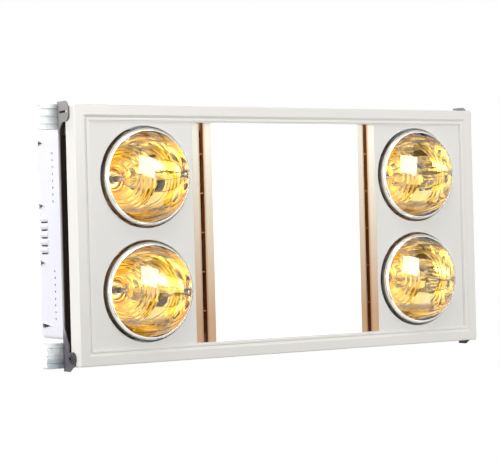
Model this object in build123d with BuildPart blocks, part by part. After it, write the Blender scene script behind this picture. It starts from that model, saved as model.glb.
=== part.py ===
"""Bathroom ceiling heater with four heat lamps, an exhaust fan and a light panel.

Sizes are in millimetres. The unit is drawn as it hangs: +Z points up into the ceiling
and the fascia faces down. The origin is the centre of the fascia's back rim, which lies
in the ceiling plane. X runs along the fascia, and the fascia hinges on its +Y side.
"""

import os
from math import acos, asin, atan2, copysign, cos, degrees, radians, sin

from build123d import *

os.makedirs("parts", exist_ok=True)

# Driving dimensions of the lamps, the light panel and the fascia round them
lamp_diameter = 130.0
lamp_length = 175.0
lamp_stand = 26.0
lamp_gap = 2.5
aperture_web = 16.0
aperture_margin = 12.0
aperture_side = 5.0
aperture_end = 22.5
panel_width = 244.0
slot_width = 6.2
trim_near_width = 15.0
trim_far_width = 15.5
fascia_border = 22.0
plate_lap = 7.0
fascia_depth = 26.0
fascia_wall = 2.0

# Places and sizes that follow from them: the fascia is as large as its lamps and panel need
aperture_diameter = lamp_diameter + 2 * lamp_gap
slot_offset = panel_width / 2 + trim_near_width
trim_edge = slot_offset + trim_far_width
lamp_x = trim_edge + aperture_side + aperture_diameter / 2
lamp_y = (aperture_diameter + aperture_web) / 2
panel_length = 2 * (lamp_y + aperture_diameter / 2 + aperture_margin)
fascia_width = panel_length + 2 * (fascia_border - plate_lap)
fascia_length = 2 * (lamp_x + aperture_diameter / 2 + aperture_end + fascia_border - plate_lap)

# Driving dimensions of the housing, its supports, the hinge and the duct
housing_inset_x = 30.0
housing_inset_y = 30.0
housing_mouth = 2.0
housing_wall = 1.0
bracket_sheet = 1.5
bracket_gap = 1.0
shelf_height = 16.5
rail_overhang = 26.0
rail_width = 33.0
rail_sheet = 1.2
hinge_inset = 10.5
hinge_z = -5.4
hinge_pin_diameter = 6.0
duct_diameter = 97.0
duct_wall = 1.5
duct_z = 95.5
duct_headroom = 2.0
bridge_height = 10.0
holder_crown = 12.0
fan_y = 15.0
scroll_floor = 50.0
scroll_top_gap = 5.0
scroll_gap = 12.0
scroll_growth_share = 0.096
outlet_share = 0.72
impeller_share = 1.2
housing_length = fascia_length - 2 * housing_inset_x
housing_width = fascia_width - 2 * housing_inset_y
lamp_stack_height = lamp_length - lamp_stand - fascia_depth + holder_crown + bridge_height + housing_wall
duct_stack_height = duct_z + duct_diameter / 2 + duct_headroom
housing_height = max(lamp_stack_height, duct_stack_height)
rail_length = fascia_length + 2 * rail_overhang
hinge_y = fascia_width / 2 - hinge_inset

# Clearances shared by the pieces that fit each other
running_clearance = 0.05
screw_clearance = 0.15
seat_gap = 0.3
cut_overrun = 1.0

# Levels and edges that several pieces share
front_z = -fascia_depth
frame_front = 3.6
plate_z = front_z + frame_front
fold_height = 9.0
lamp_spots = [(sx * lamp_x, sy * lamp_y) for sx in (-1, 1) for sy in (-1, 1)]
hinge_hole_diameter = hinge_pin_diameter + 2 * running_clearance
housing_side = housing_width / 2
housing_end = housing_length / 2
web_x = fascia_length / 2 + bracket_gap
rail_z = shelf_height + bracket_sheet
ceiling_z = housing_height - housing_wall


def save(piece, name):
    """Label a finished piece with its node's name and write it."""
    piece.part.label = name
    export_step(piece.part, f"parts/{name}.step")


# Fascia frame: one white moulding like a picture frame, stepped and beaded on its face
frame_band = 13.0
frame_step = 2.4
frame_slope_width = 3.6
bead_inset = 16.9
bead_width = 3.7
bead_height = 1.1
bead_radius = 0.9
frame_edge_radius = 1.6
frame_corner_radius = 2.5
hinge_boss_diameter = 10.0
hinge_boss_depth = 4.0
post_diameter = 8.0
post_inset_x = 24.0
post_x = panel_width / 2 - post_inset_x
post_y = fascia_width / 2 - fascia_wall - post_diameter / 2 - fascia_wall
screw_hole_depth = 2.0
small_screw_diameter = 2.6
small_head_diameter = 5.4
small_head_height = 1.7
plate_screw_y = fascia_width / 2 - bead_inset - bead_width / 2
plate_screw_x = fascia_length / 2 - bead_inset - bead_width / 2
plate_screw_xs = (trim_edge + plate_lap * 3, plate_screw_x - plate_lap * 3)
plate_screws_at = [(sx * x, sy * plate_screw_y) for sx in (-1, 1) for sy in (-1, 1) for x in plate_screw_xs]
post_spots = [(sx * post_x, sy * post_y) for sx in (-1, 1) for sy in (-1, 1)]

with BuildPart() as fascia_frame:
    with BuildSketch(Plane.XY.offset(front_z)):
        RectangleRounded(fascia_length, fascia_width, frame_corner_radius)
    extrude(amount=fascia_depth)
    fillet(fascia_frame.faces().sort_by(Axis.Z)[0].edges(), frame_edge_radius)
    with BuildSketch(Plane.XY.offset(plate_z)):
        Rectangle(fascia_length - 2 * fascia_wall, fascia_width - 2 * fascia_wall)
    extrude(amount=fascia_depth, mode=Mode.SUBTRACT)
    with BuildSketch(Plane.XY.offset(front_z)):
        Rectangle(fascia_length - 2 * frame_band, fascia_width - 2 * frame_band)
    extrude(amount=frame_step, taper=degrees(atan2(frame_slope_width, frame_step)), mode=Mode.SUBTRACT)
    with BuildSketch(Plane.XY.offset(front_z + frame_step)):
        Rectangle(fascia_length - 2 * bead_inset, fascia_width - 2 * bead_inset)
        Rectangle(
            fascia_length - 2 * (bead_inset + bead_width),
            fascia_width - 2 * (bead_inset + bead_width),
            mode=Mode.SUBTRACT,
        )
    extrude(amount=-bead_height)
    bead_face = fascia_frame.faces().filter_by(Axis.Z).group_by(Axis.Z)[1]
    fillet(bead_face.edges(), bead_radius)
    with BuildSketch(Plane.XY.offset(front_z)):
        Rectangle(fascia_length - 2 * fascia_border, fascia_width - 2 * fascia_border)
    extrude(amount=fascia_depth, mode=Mode.SUBTRACT)
    with BuildSketch(Plane.XY.offset(plate_z)):
        with Locations(*post_spots):
            Circle(post_diameter / 2)
    extrude(amount=fold_height)
    with BuildSketch(Plane.XY.offset(plate_z + fold_height)):
        with Locations(*post_spots):
            Circle(small_screw_diameter / 2 + running_clearance)
    extrude(amount=-fold_height, mode=Mode.SUBTRACT)
    with BuildSketch(Plane.XY.offset(plate_z)):
        with Locations(*plate_screws_at):
            Circle(small_screw_diameter / 2 + running_clearance)
    extrude(amount=-screw_hole_depth, mode=Mode.SUBTRACT)
    for end in (-1, 1):
        with BuildSketch(Plane.YZ.offset(end * (fascia_length / 2 - fascia_wall))):
            with Locations((hinge_y, hinge_z)):
                Circle(hinge_boss_diameter / 2)
        extrude(amount=-end * hinge_boss_depth)
        with BuildSketch(Plane.YZ.offset(end * (fascia_length / 2 + cut_overrun))):
            with Locations((hinge_y, hinge_z)):
                Circle(hinge_hole_diameter / 2)
        extrude(amount=-end * (fascia_wall + hinge_boss_depth + 2 * cut_overrun), mode=Mode.SUBTRACT)
save(fascia_frame, "fascia_frame")

# Lamp plates: pressed sheet, each with two collared apertures for the lamps
plate_sheet = 1.2
plate_edge_radius = 1.0
collar_depth = 8.0
aperture_radius = aperture_diameter / 2
plate_x_end = fascia_length / 2 - fascia_border + plate_lap

for side_name, side in (("left", -1), ("right", 1)):
    with BuildPart() as lamp_plate:
        with BuildSketch(Plane.XY.offset(plate_z)):
            with Locations((side * (trim_edge + plate_x_end) / 2, 0)):
                Rectangle(plate_x_end - trim_edge, panel_length)
            with Locations(*[spot for spot in plate_screws_at if spot[0] * side > 0]):
                Circle(small_screw_diameter / 2 + screw_clearance, mode=Mode.SUBTRACT)
        extrude(amount=plate_sheet)
        with BuildSketch(Plane.XY.offset(plate_z)):
            with Locations((side * (trim_edge + plate_sheet / 2), 0)):
                Rectangle(plate_sheet, panel_length)
        extrude(amount=fold_height)
        with BuildSketch(Plane.XY.offset(plate_z)):
            with Locations((side * lamp_x, -lamp_y), (side * lamp_x, lamp_y)):
                Circle(aperture_radius + plate_sheet)
        extrude(amount=collar_depth)
        with BuildSketch(Plane.XY.offset(plate_z - cut_overrun)):
            with Locations((side * lamp_x, -lamp_y), (side * lamp_x, lamp_y)):
                Circle(aperture_radius)
        extrude(amount=collar_depth + 2 * cut_overrun, mode=Mode.SUBTRACT)
        mouth_edges = lamp_plate.edges().filter_by(GeomType.CIRCLE).group_by(SortBy.LENGTH)[-2]
        fillet(mouth_edges.group_by(Axis.Z)[0], plate_edge_radius)
    save(lamp_plate, f"{side_name}_lamp_plate")

# Slot trims: two bevelled strips each side of the panel, joined by ribs across the air slot
trim_slope = 2.3
trim_sheet = 1.2
trim_joint = 0.2
rib_count = 5
rib_margin = 49.0
rib_thickness = 1.6
rib_height = 4.0
rib_setback = 4.5
rib_pitch = (panel_length - 2 * rib_margin) / (rib_count - 1)
slot_near = slot_offset - slot_width / 2
slot_far = slot_offset + slot_width / 2

for side_name, side in (("left", -1), ("right", 1)):
    with BuildPart() as slot_trim:
        with BuildSketch(Plane.XZ):
            for edge, lip, back in (
                (panel_width / 2 + trim_joint, slot_near, -trim_sheet),
                (trim_edge - trim_joint, slot_far, trim_sheet),
            ):
                with BuildLine():
                    Polyline(
                        (side * edge, plate_z),
                        (side * lip, plate_z + trim_slope),
                        (side * lip, plate_z + fold_height),
                        (side * (lip + back), plate_z + fold_height),
                        (side * (lip + back), plate_z + trim_slope + trim_sheet),
                        (side * edge, plate_z + trim_sheet),
                        close=True,
                    )
                make_face()
        extrude(amount=panel_length / 2, both=True)
        with BuildSketch(Plane.XY.offset(plate_z + rib_setback)):
            with Locations((side * slot_offset, 0)):
                with GridLocations(slot_width, rib_pitch, 1, rib_count):
                    Rectangle(slot_width + 2 * trim_sheet, rib_thickness)
        extrude(amount=rib_height)
    save(slot_trim, f"{side_name}_slot_trim")

# Light unit: opal tray diffuser, aluminium back tray, board with its rows of lights, driver
diffuser_wall = 2.0
tray_sheet = 1.2
tray_rib_length = 180.0
tray_rib_width = 14.0
tray_rib_height = 2.4
tray_rib_inset = 71.0
tray_ear = 14.0
board_thickness = 1.6
board_margin_x = 9.0
board_margin_y = 12.0
light_chip_length = 5.0
light_chip_width = 3.0
light_chip_height = 0.8
light_chip_margin_x = 21.5
light_chip_margin_y = 7.5
light_chip_columns = 6
light_chip_rows = 8
driver_length = 118.0
driver_width = 40.0
driver_height = 22.0
driver_radius = 2.0
driver_foot_length = 142.0
driver_foot_width = 18.0
driver_foot_sheet = 1.5
driver_foot_pitch = 130.0
tray_rib_y = panel_length / 2 - tray_rib_inset
board_width = panel_width - 2 * board_margin_x
board_length = panel_length - 2 * board_margin_y
light_chip_pitch_x = (board_width - light_chip_width - 2 * light_chip_margin_x) / (light_chip_columns - 1)
light_chip_pitch_y = (board_length - light_chip_length - 2 * light_chip_margin_y) / (light_chip_rows - 1)
tray_z = plate_z + fold_height
tray_back_z = tray_z + tray_sheet

with BuildPart() as light_diffuser:
    with BuildSketch(Plane.XY.offset(plate_z)):
        Rectangle(panel_width, panel_length)
    extrude(amount=fold_height)
    with BuildSketch(Plane.XY.offset(plate_z + diffuser_wall)):
        Rectangle(panel_width - 2 * diffuser_wall, panel_length - 2 * diffuser_wall)
    extrude(amount=fold_height, mode=Mode.SUBTRACT)
save(light_diffuser, "light_diffuser")

with BuildPart() as light_tray:
    with BuildSketch(Plane.XY.offset(tray_z)):
        Rectangle(2 * slot_near, panel_length)
        with Locations(*[(x, y - copysign(post_diameter / 2, y)) for x, y in post_spots]):
            Rectangle(tray_ear, 2 * post_diameter)
        with Locations(*post_spots):
            Circle(small_screw_diameter / 2 + screw_clearance, mode=Mode.SUBTRACT)
    extrude(amount=tray_sheet)
    with BuildSketch(Plane.XY.offset(tray_z)):
        with Locations((0, -tray_rib_y), (0, tray_rib_y)):
            SlotOverall(tray_rib_length, tray_rib_width)
    extrude(amount=tray_sheet + tray_rib_height)
    with BuildSketch(Plane.XY.offset(tray_z)):
        with Locations((0, -tray_rib_y), (0, tray_rib_y)):
            SlotOverall(tray_rib_length - 2 * tray_sheet, tray_rib_width - 2 * tray_sheet)
    extrude(amount=tray_rib_height, mode=Mode.SUBTRACT)
    with BuildSketch(Plane.XY.offset(tray_z)):
        with Locations((-driver_foot_pitch / 2, 0), (driver_foot_pitch / 2, 0)):
            Circle(small_screw_diameter / 2 + running_clearance)
    extrude(amount=tray_sheet, mode=Mode.SUBTRACT)
save(light_tray, "light_tray")

with BuildPart() as light_board:
    with BuildSketch(Plane.XY.offset(tray_z - board_thickness)):
        Rectangle(board_width, board_length)
    extrude(amount=board_thickness)
    with BuildSketch(Plane.XY.offset(tray_z - board_thickness)):
        with Locations((-driver_foot_pitch / 2, 0), (driver_foot_pitch / 2, 0)):
            Circle(small_screw_diameter)
    extrude(amount=board_thickness, mode=Mode.SUBTRACT)
save(light_board, "light_board")

with BuildPart() as light_chips:
    with BuildSketch(Plane.XY.offset(tray_z - board_thickness)):
        with GridLocations(light_chip_pitch_x, light_chip_pitch_y, light_chip_columns, light_chip_rows):
            Rectangle(light_chip_width, light_chip_length)
    extrude(amount=-light_chip_height)
save(light_chips, "light_chips")

with BuildPart() as light_driver:
    with BuildSketch(Plane.XY.offset(tray_back_z)):
        Rectangle(driver_length, driver_width)
    extrude(amount=driver_height)
    fillet(light_driver.edges().filter_by(Axis.Z), driver_radius)
    fillet(light_driver.faces().sort_by(Axis.Z)[-1].edges(), driver_radius)
    with BuildSketch(Plane.XY.offset(tray_back_z)):
        Rectangle(driver_foot_length, driver_foot_width)
        with Locations((-driver_foot_pitch / 2, 0), (driver_foot_pitch / 2, 0)):
            Circle(small_screw_diameter / 2 + screw_clearance, mode=Mode.SUBTRACT)
    extrude(amount=driver_foot_sheet)
save(light_driver, "light_driver")

# Small pan-head screws that hold the plates, the light tray and the driver
plate_seats = [(x, y, plate_z + plate_sheet) for x, y in plate_screws_at]
driver_seats = [(side * driver_foot_pitch / 2, 0, tray_back_z + driver_foot_sheet) for side in (-1, 1)]
light_seats = [(x, y, tray_back_z) for x, y in post_spots] + driver_seats
for screw_name, seats, grip in (
    ("plate_screws", plate_seats, plate_sheet + screw_hole_depth),
    ("light_screws", light_seats, driver_foot_sheet + tray_sheet + board_thickness),
):
    with BuildPart() as screws:
        with Locations(*seats):
            Cylinder(
                small_head_diameter / 2,
                small_head_height,
                align=(Align.CENTER, Align.CENTER, Align.MIN),
            )
            Cylinder(
                small_screw_diameter / 2,
                grip - seat_gap,
                align=(Align.CENTER, Align.CENTER, Align.MAX),
            )
    save(screws, screw_name)

# Housing: deep-drawn steel tray with louvres, vents and pressed darts in its end walls
housing_corner = 6.0
housing_edge_radius = 3.0
louvre_count = 5
louvre_pitch = 10.7
louvre_length = 24.0
louvre_opening = 2.2
louvre_hood = 7.6
louvre_rise = 2.4
louvre_taper = 50.0
louvre_shift = 2.0
louvre_z = housing_height - housing_edge_radius - louvre_length / 2 - cut_overrun
vent_count = 8
vent_pitch = 9.3
vent_diameter = 3.0
vent_inset = 60.0
vent_z = 102.0
dart_length = 18.0
dart_width = 10.0
dart_rise = 1.6
dart_taper = 35.0
window_share = 0.66
dart_y_shares = (-0.457, -0.15, 0.129, 0.436)
big_dart_stretch = 2.0
dart_base_z = housing_height - housing_edge_radius
lead_hole_diameter = 12.0
lead_hole_z = 112.0
entry_hole_z = 104.0
duct_bore = duct_diameter - 2 * duct_wall
vent_y = housing_side - vent_inset
dart_offsets = [housing_width * share for share in dart_y_shares]
scroll_reach = (housing_side - scroll_gap - fan_y) / (1 - scroll_growth_share)
outlet_width = scroll_reach * outlet_share
duct_x = scroll_reach - outlet_width / 2

with BuildPart() as housing_tray:
    with BuildSketch(Plane.XY.offset(housing_mouth)):
        RectangleRounded(housing_length, housing_width, housing_corner)
    extrude(amount=housing_height - housing_mouth)
    fillet(housing_tray.faces().sort_by(Axis.Z)[-1].edges(), housing_edge_radius)
    with BuildSketch(Plane.YZ.offset(-housing_end)):
        with Locations((louvre_shift - louvre_opening / 2 - louvre_hood / 2, louvre_z)):
            with GridLocations(louvre_pitch, louvre_length, louvre_count, 1):
                Rectangle(louvre_hood, louvre_length)
    extrude(amount=-louvre_rise, taper=louvre_taper)
    with BuildSketch(Plane.YZ.offset(-housing_end)):
        for dart_y in dart_offsets:
            stretch = big_dart_stretch if dart_y == max(dart_offsets) else 1
            with BuildLine():
                Polyline(
                    (dart_y - dart_width / 2, dart_base_z),
                    (dart_y + dart_width / 2, dart_base_z),
                    (dart_y, dart_base_z - dart_length * stretch),
                    close=True,
                )
            make_face()
    extrude(amount=-dart_rise, taper=dart_taper)
    with BuildSketch(Plane.XY.offset(housing_mouth)):
        RectangleRounded(
            housing_length - 2 * housing_wall,
            housing_width - 2 * housing_wall,
            housing_corner - housing_wall,
        )
    extrude(amount=ceiling_z - housing_mouth, mode=Mode.SUBTRACT)
    with BuildSketch(Plane.YZ.offset(-housing_end - cut_overrun)):
        with Locations((louvre_shift, louvre_z)):
            with GridLocations(louvre_pitch, louvre_length, louvre_count, 1):
                Rectangle(louvre_opening, louvre_length - 2 * louvre_rise)
    extrude(amount=housing_wall + 2 * cut_overrun, mode=Mode.SUBTRACT)
    with BuildSketch(Plane.YZ.offset(-housing_end - dart_rise - cut_overrun)):
        for dart_y in dart_offsets:
            stretch = big_dart_stretch if dart_y == max(dart_offsets) else 1
            window_z = dart_base_z - dart_length * stretch / 3
            with BuildLine():
                Polyline(
                    (dart_y - dart_width / 2 * window_share, window_z + dart_length * stretch / 3 * window_share),
                    (dart_y + dart_width / 2 * window_share, window_z + dart_length * stretch / 3 * window_share),
                    (dart_y, window_z - dart_length * stretch * 2 / 3 * window_share),
                    close=True,
                )
            make_face()
    extrude(amount=housing_wall + dart_rise + 2 * cut_overrun, mode=Mode.SUBTRACT)
    for end in (-1, 1):
        with BuildSketch(Plane.YZ.offset(end * (housing_end + cut_overrun))):
            for vent_side in (-vent_y, vent_y):
                with Locations((vent_side, vent_z)):
                    with GridLocations(vent_pitch, vent_pitch, vent_count, 1):
                        Circle(vent_diameter / 2)
        extrude(amount=-end * (housing_wall + 2 * cut_overrun), mode=Mode.SUBTRACT)
    with BuildSketch(Plane.YZ.offset(housing_end + cut_overrun)):
        with Locations((0, entry_hole_z)):
            Circle(lead_hole_diameter / 2)
    extrude(amount=-housing_wall - 2 * cut_overrun, mode=Mode.SUBTRACT)
    with BuildSketch(Plane.XZ.offset(housing_side + cut_overrun)):
        with Locations((duct_x, duct_z)):
            Circle(duct_bore / 2)
    extrude(amount=-housing_wall - 2 * cut_overrun, mode=Mode.SUBTRACT)
save(housing_tray, "housing_tray")

# End brackets: dark folded sheet beside the fascia, with an ear, a long arch and a hinge foot
ear_overhang = 6.0
ear_length = 27.0
ear_tip_z = -12.0
ear_radius = 10.0
ear_lobe_radius = 9.0
arch_rise = 2.5
arch_run = 18.0
neck_z = 2.0
foot_overhang = 7.0
foot_neck_run = 17.0
foot_slope_run = 22.0
shelf_overhang = 2.0
foot_chamfer = 9.0
foot_tip_z = -12.5
web_boss_diameter = 15.0
web_boss_land = 1.2
web_boss_height = 1.5
ear_slot_length = 23.0
ear_slot_width = 3.0
ear_slot_inset = 14.0
ear_slot_z = 2.0
lip_height = 14.0
lip_inset = 15.0
bracket_screw_diameter = 4.0
bracket_screw_share = 0.4
rivet_diameter = 4.0
rivet_head_diameter = 7.0
rivet_head_height = 1.3
shelf_rivet_inset = 12.0
shelf_rivet_share = 0.35
shelf_rivet_x = housing_end + shelf_rivet_inset
ear_y = -fascia_width / 2 - ear_overhang
ear_neck_y = ear_y + ear_length
ear_slot_y = ear_y + ear_slot_inset
arch_z = shelf_height - arch_rise
arch_start_y = ear_neck_y + arch_run
foot_y = fascia_width / 2 + foot_overhang
foot_neck_y = hinge_y - foot_neck_run
arch_end_y = foot_neck_y - foot_slope_run
shelf_width = fascia_width + 2 * shelf_overhang
lip_length = housing_width - 2 * lip_inset
bracket_screw_y = lip_length * bracket_screw_share
shelf_rivet_y = housing_side + rail_width * shelf_rivet_share

for side_name, side in (("left", -1), ("right", 1)):
    with BuildPart() as end_bracket:
        with BuildSketch(Plane.YZ.offset(side * web_x)):
            with BuildLine():
                Polyline(
                    (arch_end_y, arch_z),
                    (arch_start_y, arch_z),
                )
                ThreePointArc(
                    (arch_start_y, arch_z),
                    (
                        arch_start_y - (arch_start_y - ear_neck_y) * sin(radians(45)),
                        neck_z + (arch_z - neck_z) * sin(radians(45)),
                    ),
                    (ear_neck_y, neck_z),
                )
                Polyline(
                    (ear_neck_y, neck_z),
                    (ear_neck_y, ear_tip_z),
                    (ear_y, ear_tip_z),
                    (ear_y, rail_z),
                    (foot_y, rail_z),
                    (foot_y, neck_z),
                    (foot_y - foot_chamfer, foot_tip_z),
                    (hinge_y, foot_tip_z),
                    (foot_neck_y + foot_chamfer, neck_z),
                    (foot_neck_y, neck_z),
                    (arch_end_y, arch_z),
                )
            make_face()
            with Locations((hinge_y, hinge_z)):
                Circle(web_boss_diameter / 2 + web_boss_land)
            with Locations((ear_slot_y, ear_slot_z)):
                SlotOverall(ear_slot_length, ear_slot_width, rotation=90, mode=Mode.SUBTRACT)
        extrude(amount=side * bracket_sheet)
        ear_edges = end_bracket.edges().filter_by(Axis.X).filter_by_position(Axis.Y, 2 * ear_y, ear_neck_y + seat_gap)
        fillet(ear_edges.group_by(Axis.Z)[0].sort_by(Axis.Y)[0], ear_radius)
        ear_edges = end_bracket.edges().filter_by(Axis.X).filter_by_position(Axis.Y, 2 * ear_y, ear_neck_y + seat_gap)
        fillet(ear_edges.group_by(Axis.Z)[0].sort_by(Axis.Y)[-1], ear_lobe_radius)
        with BuildSketch(Plane.YZ.offset(side * (web_x + bracket_sheet))):
            with Locations((hinge_y, hinge_z)):
                Circle(web_boss_diameter / 2)
        extrude(amount=side * web_boss_height)
        fillet(end_bracket.faces().sort_by(Axis.X)[-1 if side > 0 else 0].edges(), bracket_sheet / 2)
        with BuildSketch(Plane.XY.offset(shelf_height)):
            with Locations((side * (housing_end + web_x) / 2, 0)):
                Rectangle(web_x - housing_end, shelf_width)
            with Locations(*[(side * shelf_rivet_x, sy * shelf_rivet_y) for sy in (-1, 1)]):
                Circle(rivet_diameter / 2 + running_clearance, mode=Mode.SUBTRACT)
        extrude(amount=bracket_sheet)
        with BuildSketch(Plane.YZ.offset(side * housing_end)):
            with Locations((0, shelf_height + lip_height / 2)):
                Rectangle(lip_length, lip_height)
            with Locations((-bracket_screw_y, rail_z + lip_height / 2), (bracket_screw_y, rail_z + lip_height / 2)):
                Circle(bracket_screw_diameter / 2 + screw_clearance, mode=Mode.SUBTRACT)
        extrude(amount=side * bracket_sheet)
        with BuildSketch(Plane.YZ.offset(side * (web_x - cut_overrun))):
            with Locations((hinge_y, hinge_z)):
                Circle(hinge_pin_diameter / 2 + running_clearance)
        extrude(amount=side * (bracket_sheet + web_boss_height + 2 * cut_overrun), mode=Mode.SUBTRACT)
    save(end_bracket, f"{side_name}_end_bracket")

# Hinge screws: shouldered screws through the bracket bosses into the fascia's end walls
hinge_head_diameter = 9.0
hinge_head_height = 1.0
hinge_socket_flats = 4.4
hinge_socket_depth = 3.0
hinge_tail = 3.0
boss_face_x = web_x + bracket_sheet + web_boss_height
pin_end_x = fascia_length / 2 - fascia_wall - hinge_boss_depth - hinge_tail

with BuildPart() as hinge_screws:
    for end in (-1, 1):
        with BuildSketch(Plane.YZ.offset(end * boss_face_x)):
            with Locations((hinge_y, hinge_z)):
                Circle(hinge_pin_diameter / 2)
        extrude(amount=-end * (boss_face_x - pin_end_x))
        with BuildSketch(Plane.YZ.offset(end * boss_face_x)):
            with Locations((hinge_y, hinge_z)):
                Circle(hinge_head_diameter / 2)
        extrude(amount=end * hinge_head_height)
        with BuildSketch(Plane.YZ.offset(end * (boss_face_x + hinge_head_height))):
            with Locations((hinge_y, hinge_z)):
                RegularPolygon(hinge_socket_flats / 2, 6, major_radius=False)
        extrude(amount=-end * hinge_socket_depth, mode=Mode.SUBTRACT)
save(hinge_screws, "hinge_screws")

# Catch springs: steel leaves under the bracket shelves that grip the fascia's end walls
catch_width = 16.0
catch_sheet = 0.8
catch_foot = 18.0
catch_inset = 30.0
catch_length = 26.0
catch_nose = 2.4
catch_y = -fascia_width / 2 + catch_inset
catch_face_x = fascia_length / 2 - fascia_wall - seat_gap
catch_leaf_x = catch_face_x - catch_nose

for side_name, side in (("left", -1), ("right", 1)):
    with BuildPart() as catch_spring:
        with BuildSketch(Plane.XZ.offset(-catch_y)):
            with BuildLine():
                Polyline(
                    (side * (catch_leaf_x - catch_foot), shelf_height),
                    (side * catch_leaf_x, shelf_height),
                    (side * catch_leaf_x, shelf_height - catch_length * 2 / 3),
                    (side * catch_face_x, shelf_height - catch_length * 5 / 6),
                    (side * catch_leaf_x, shelf_height - catch_length),
                    (side * (catch_leaf_x - catch_sheet), shelf_height - catch_length),
                    (side * (catch_face_x - catch_sheet), shelf_height - catch_length * 5 / 6),
                    (side * (catch_leaf_x - catch_sheet), shelf_height - catch_length * 2 / 3),
                    (side * (catch_leaf_x - catch_sheet), shelf_height - catch_sheet),
                    (side * (catch_leaf_x - catch_foot), shelf_height - catch_sheet),
                    close=True,
                )
            make_face()
        extrude(amount=catch_width / 2, both=True)
    save(catch_spring, f"{side_name}_catch_spring")

# Mounting rails: ribbed galvanised strips along both long sides, screwed to the ceiling frame
rail_lip = 14.0
rail_rib_radius = 2.4
rail_rib_shares = (0.2, 0.5, 0.8)
rail_screw_inset = 76.0
rail_screw_share = 0.35
rail_screw_x = rail_length / 2 - rail_screw_inset
rail_screw_y = housing_side + rail_width * rail_screw_share
rail_screw_diameter = 4.6

for side_name, side in (("front", -1), ("rear", 1)):
    with BuildPart() as mounting_rail:
        with BuildSketch(Plane.YZ):
            with Locations((side * (housing_side + rail_width / 2), rail_z + rail_sheet / 2)):
                Rectangle(rail_width, rail_sheet)
            with Locations(*[(side * (housing_side + rail_width * share), rail_z) for share in rail_rib_shares]):
                Circle(rail_rib_radius)
                Circle(rail_rib_radius - rail_sheet, mode=Mode.SUBTRACT)
            with Locations((side * (housing_side + rail_width / 2), rail_z - rail_rib_radius / 2)):
                Rectangle(rail_width, rail_rib_radius, mode=Mode.SUBTRACT)
            for lip_y in (rail_sheet / 2, rail_width - rail_sheet / 2):
                with Locations((side * (housing_side + lip_y), rail_z + rail_lip / 2)):
                    Rectangle(rail_sheet, rail_lip)
        extrude(amount=rail_length / 2, both=True)
        with BuildSketch(Plane.XY.offset(rail_z - cut_overrun)):
            with Locations((-rail_screw_x, side * rail_screw_y), (rail_screw_x, side * rail_screw_y)):
                Circle(rail_screw_diameter / 2)
            with Locations(*[(sx * shelf_rivet_x, side * shelf_rivet_y) for sx in (-1, 1)]):
                Circle(rivet_diameter / 2 + running_clearance)
        extrude(amount=rail_rib_radius + 2 * cut_overrun, mode=Mode.SUBTRACT)
    save(mounting_rail, f"{side_name}_mounting_rail")

# Fasteners of the brackets and rails
with BuildPart() as bracket_screws:
    for end in (-1, 1):
        for face_x, diameter, height in (
            (housing_end + bracket_sheet, rivet_head_diameter, rivet_head_height),
            (housing_end, bracket_screw_diameter, bracket_sheet),
        ):
            with BuildSketch(Plane.YZ.offset(end * face_x)):
                with Locations((-bracket_screw_y, rail_z + lip_height / 2), (bracket_screw_y, rail_z + lip_height / 2)):
                    Circle(diameter / 2)
            extrude(amount=end * height)
save(bracket_screws, "bracket_screws")

with BuildPart() as shelf_rivets:
    rivet_spots = [(sx * shelf_rivet_x, sy * shelf_rivet_y) for sx in (-1, 1) for sy in (-1, 1)]
    with BuildSketch(Plane.XY.offset(shelf_height)):
        with Locations(*rivet_spots):
            Circle(rivet_head_diameter / 2)
    extrude(amount=-rivet_head_height)
    with BuildSketch(Plane.XY.offset(shelf_height)):
        with Locations(*rivet_spots):
            Circle(rivet_diameter / 2)
    extrude(amount=bracket_sheet + rail_sheet)
save(shelf_rivets, "shelf_rivets")

# Heat shields: folded aluminised walls between the lamp chambers and the fan chamber
shield_offset = 2.5
shield_sheet = 0.8
shield_foot = 12.0
shield_mouth = 4.0
shield_hole_diameter = 14.0
shield_x = trim_edge - shield_offset
housing_inner_width = housing_width - 2 * housing_wall

for side_name, side in (("left", -1), ("right", 1)):
    with BuildPart() as heat_shield:
        with BuildSketch(Plane.YZ.offset(side * shield_x)):
            with Locations((0, (shield_mouth + ceiling_z) / 2)):
                Rectangle(housing_inner_width - 2 * seat_gap, ceiling_z - shield_mouth)
            with Locations((0, lead_hole_z)):
                Circle(shield_hole_diameter / 2, mode=Mode.SUBTRACT)
        extrude(amount=side * shield_sheet)
        for fold_z in (shield_mouth, ceiling_z - shield_sheet):
            with BuildSketch(Plane.XY.offset(fold_z)):
                with Locations((side * (shield_x + shield_foot / 2), 0)):
                    Rectangle(shield_foot, housing_inner_width - 4 * shield_foot)
            extrude(amount=shield_sheet)
    save(heat_shield, f"{side_name}_heat_shield")

# Lamp bridges: hat channels under the housing top that carry the lampholders
bridge_width = 52.0
bridge_flange = 12.0
bridge_sheet = 1.2
bridge_z = ceiling_z - bridge_height
holder_screw_pitch = 32.0
holder_screw_diameter = 3.6

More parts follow.
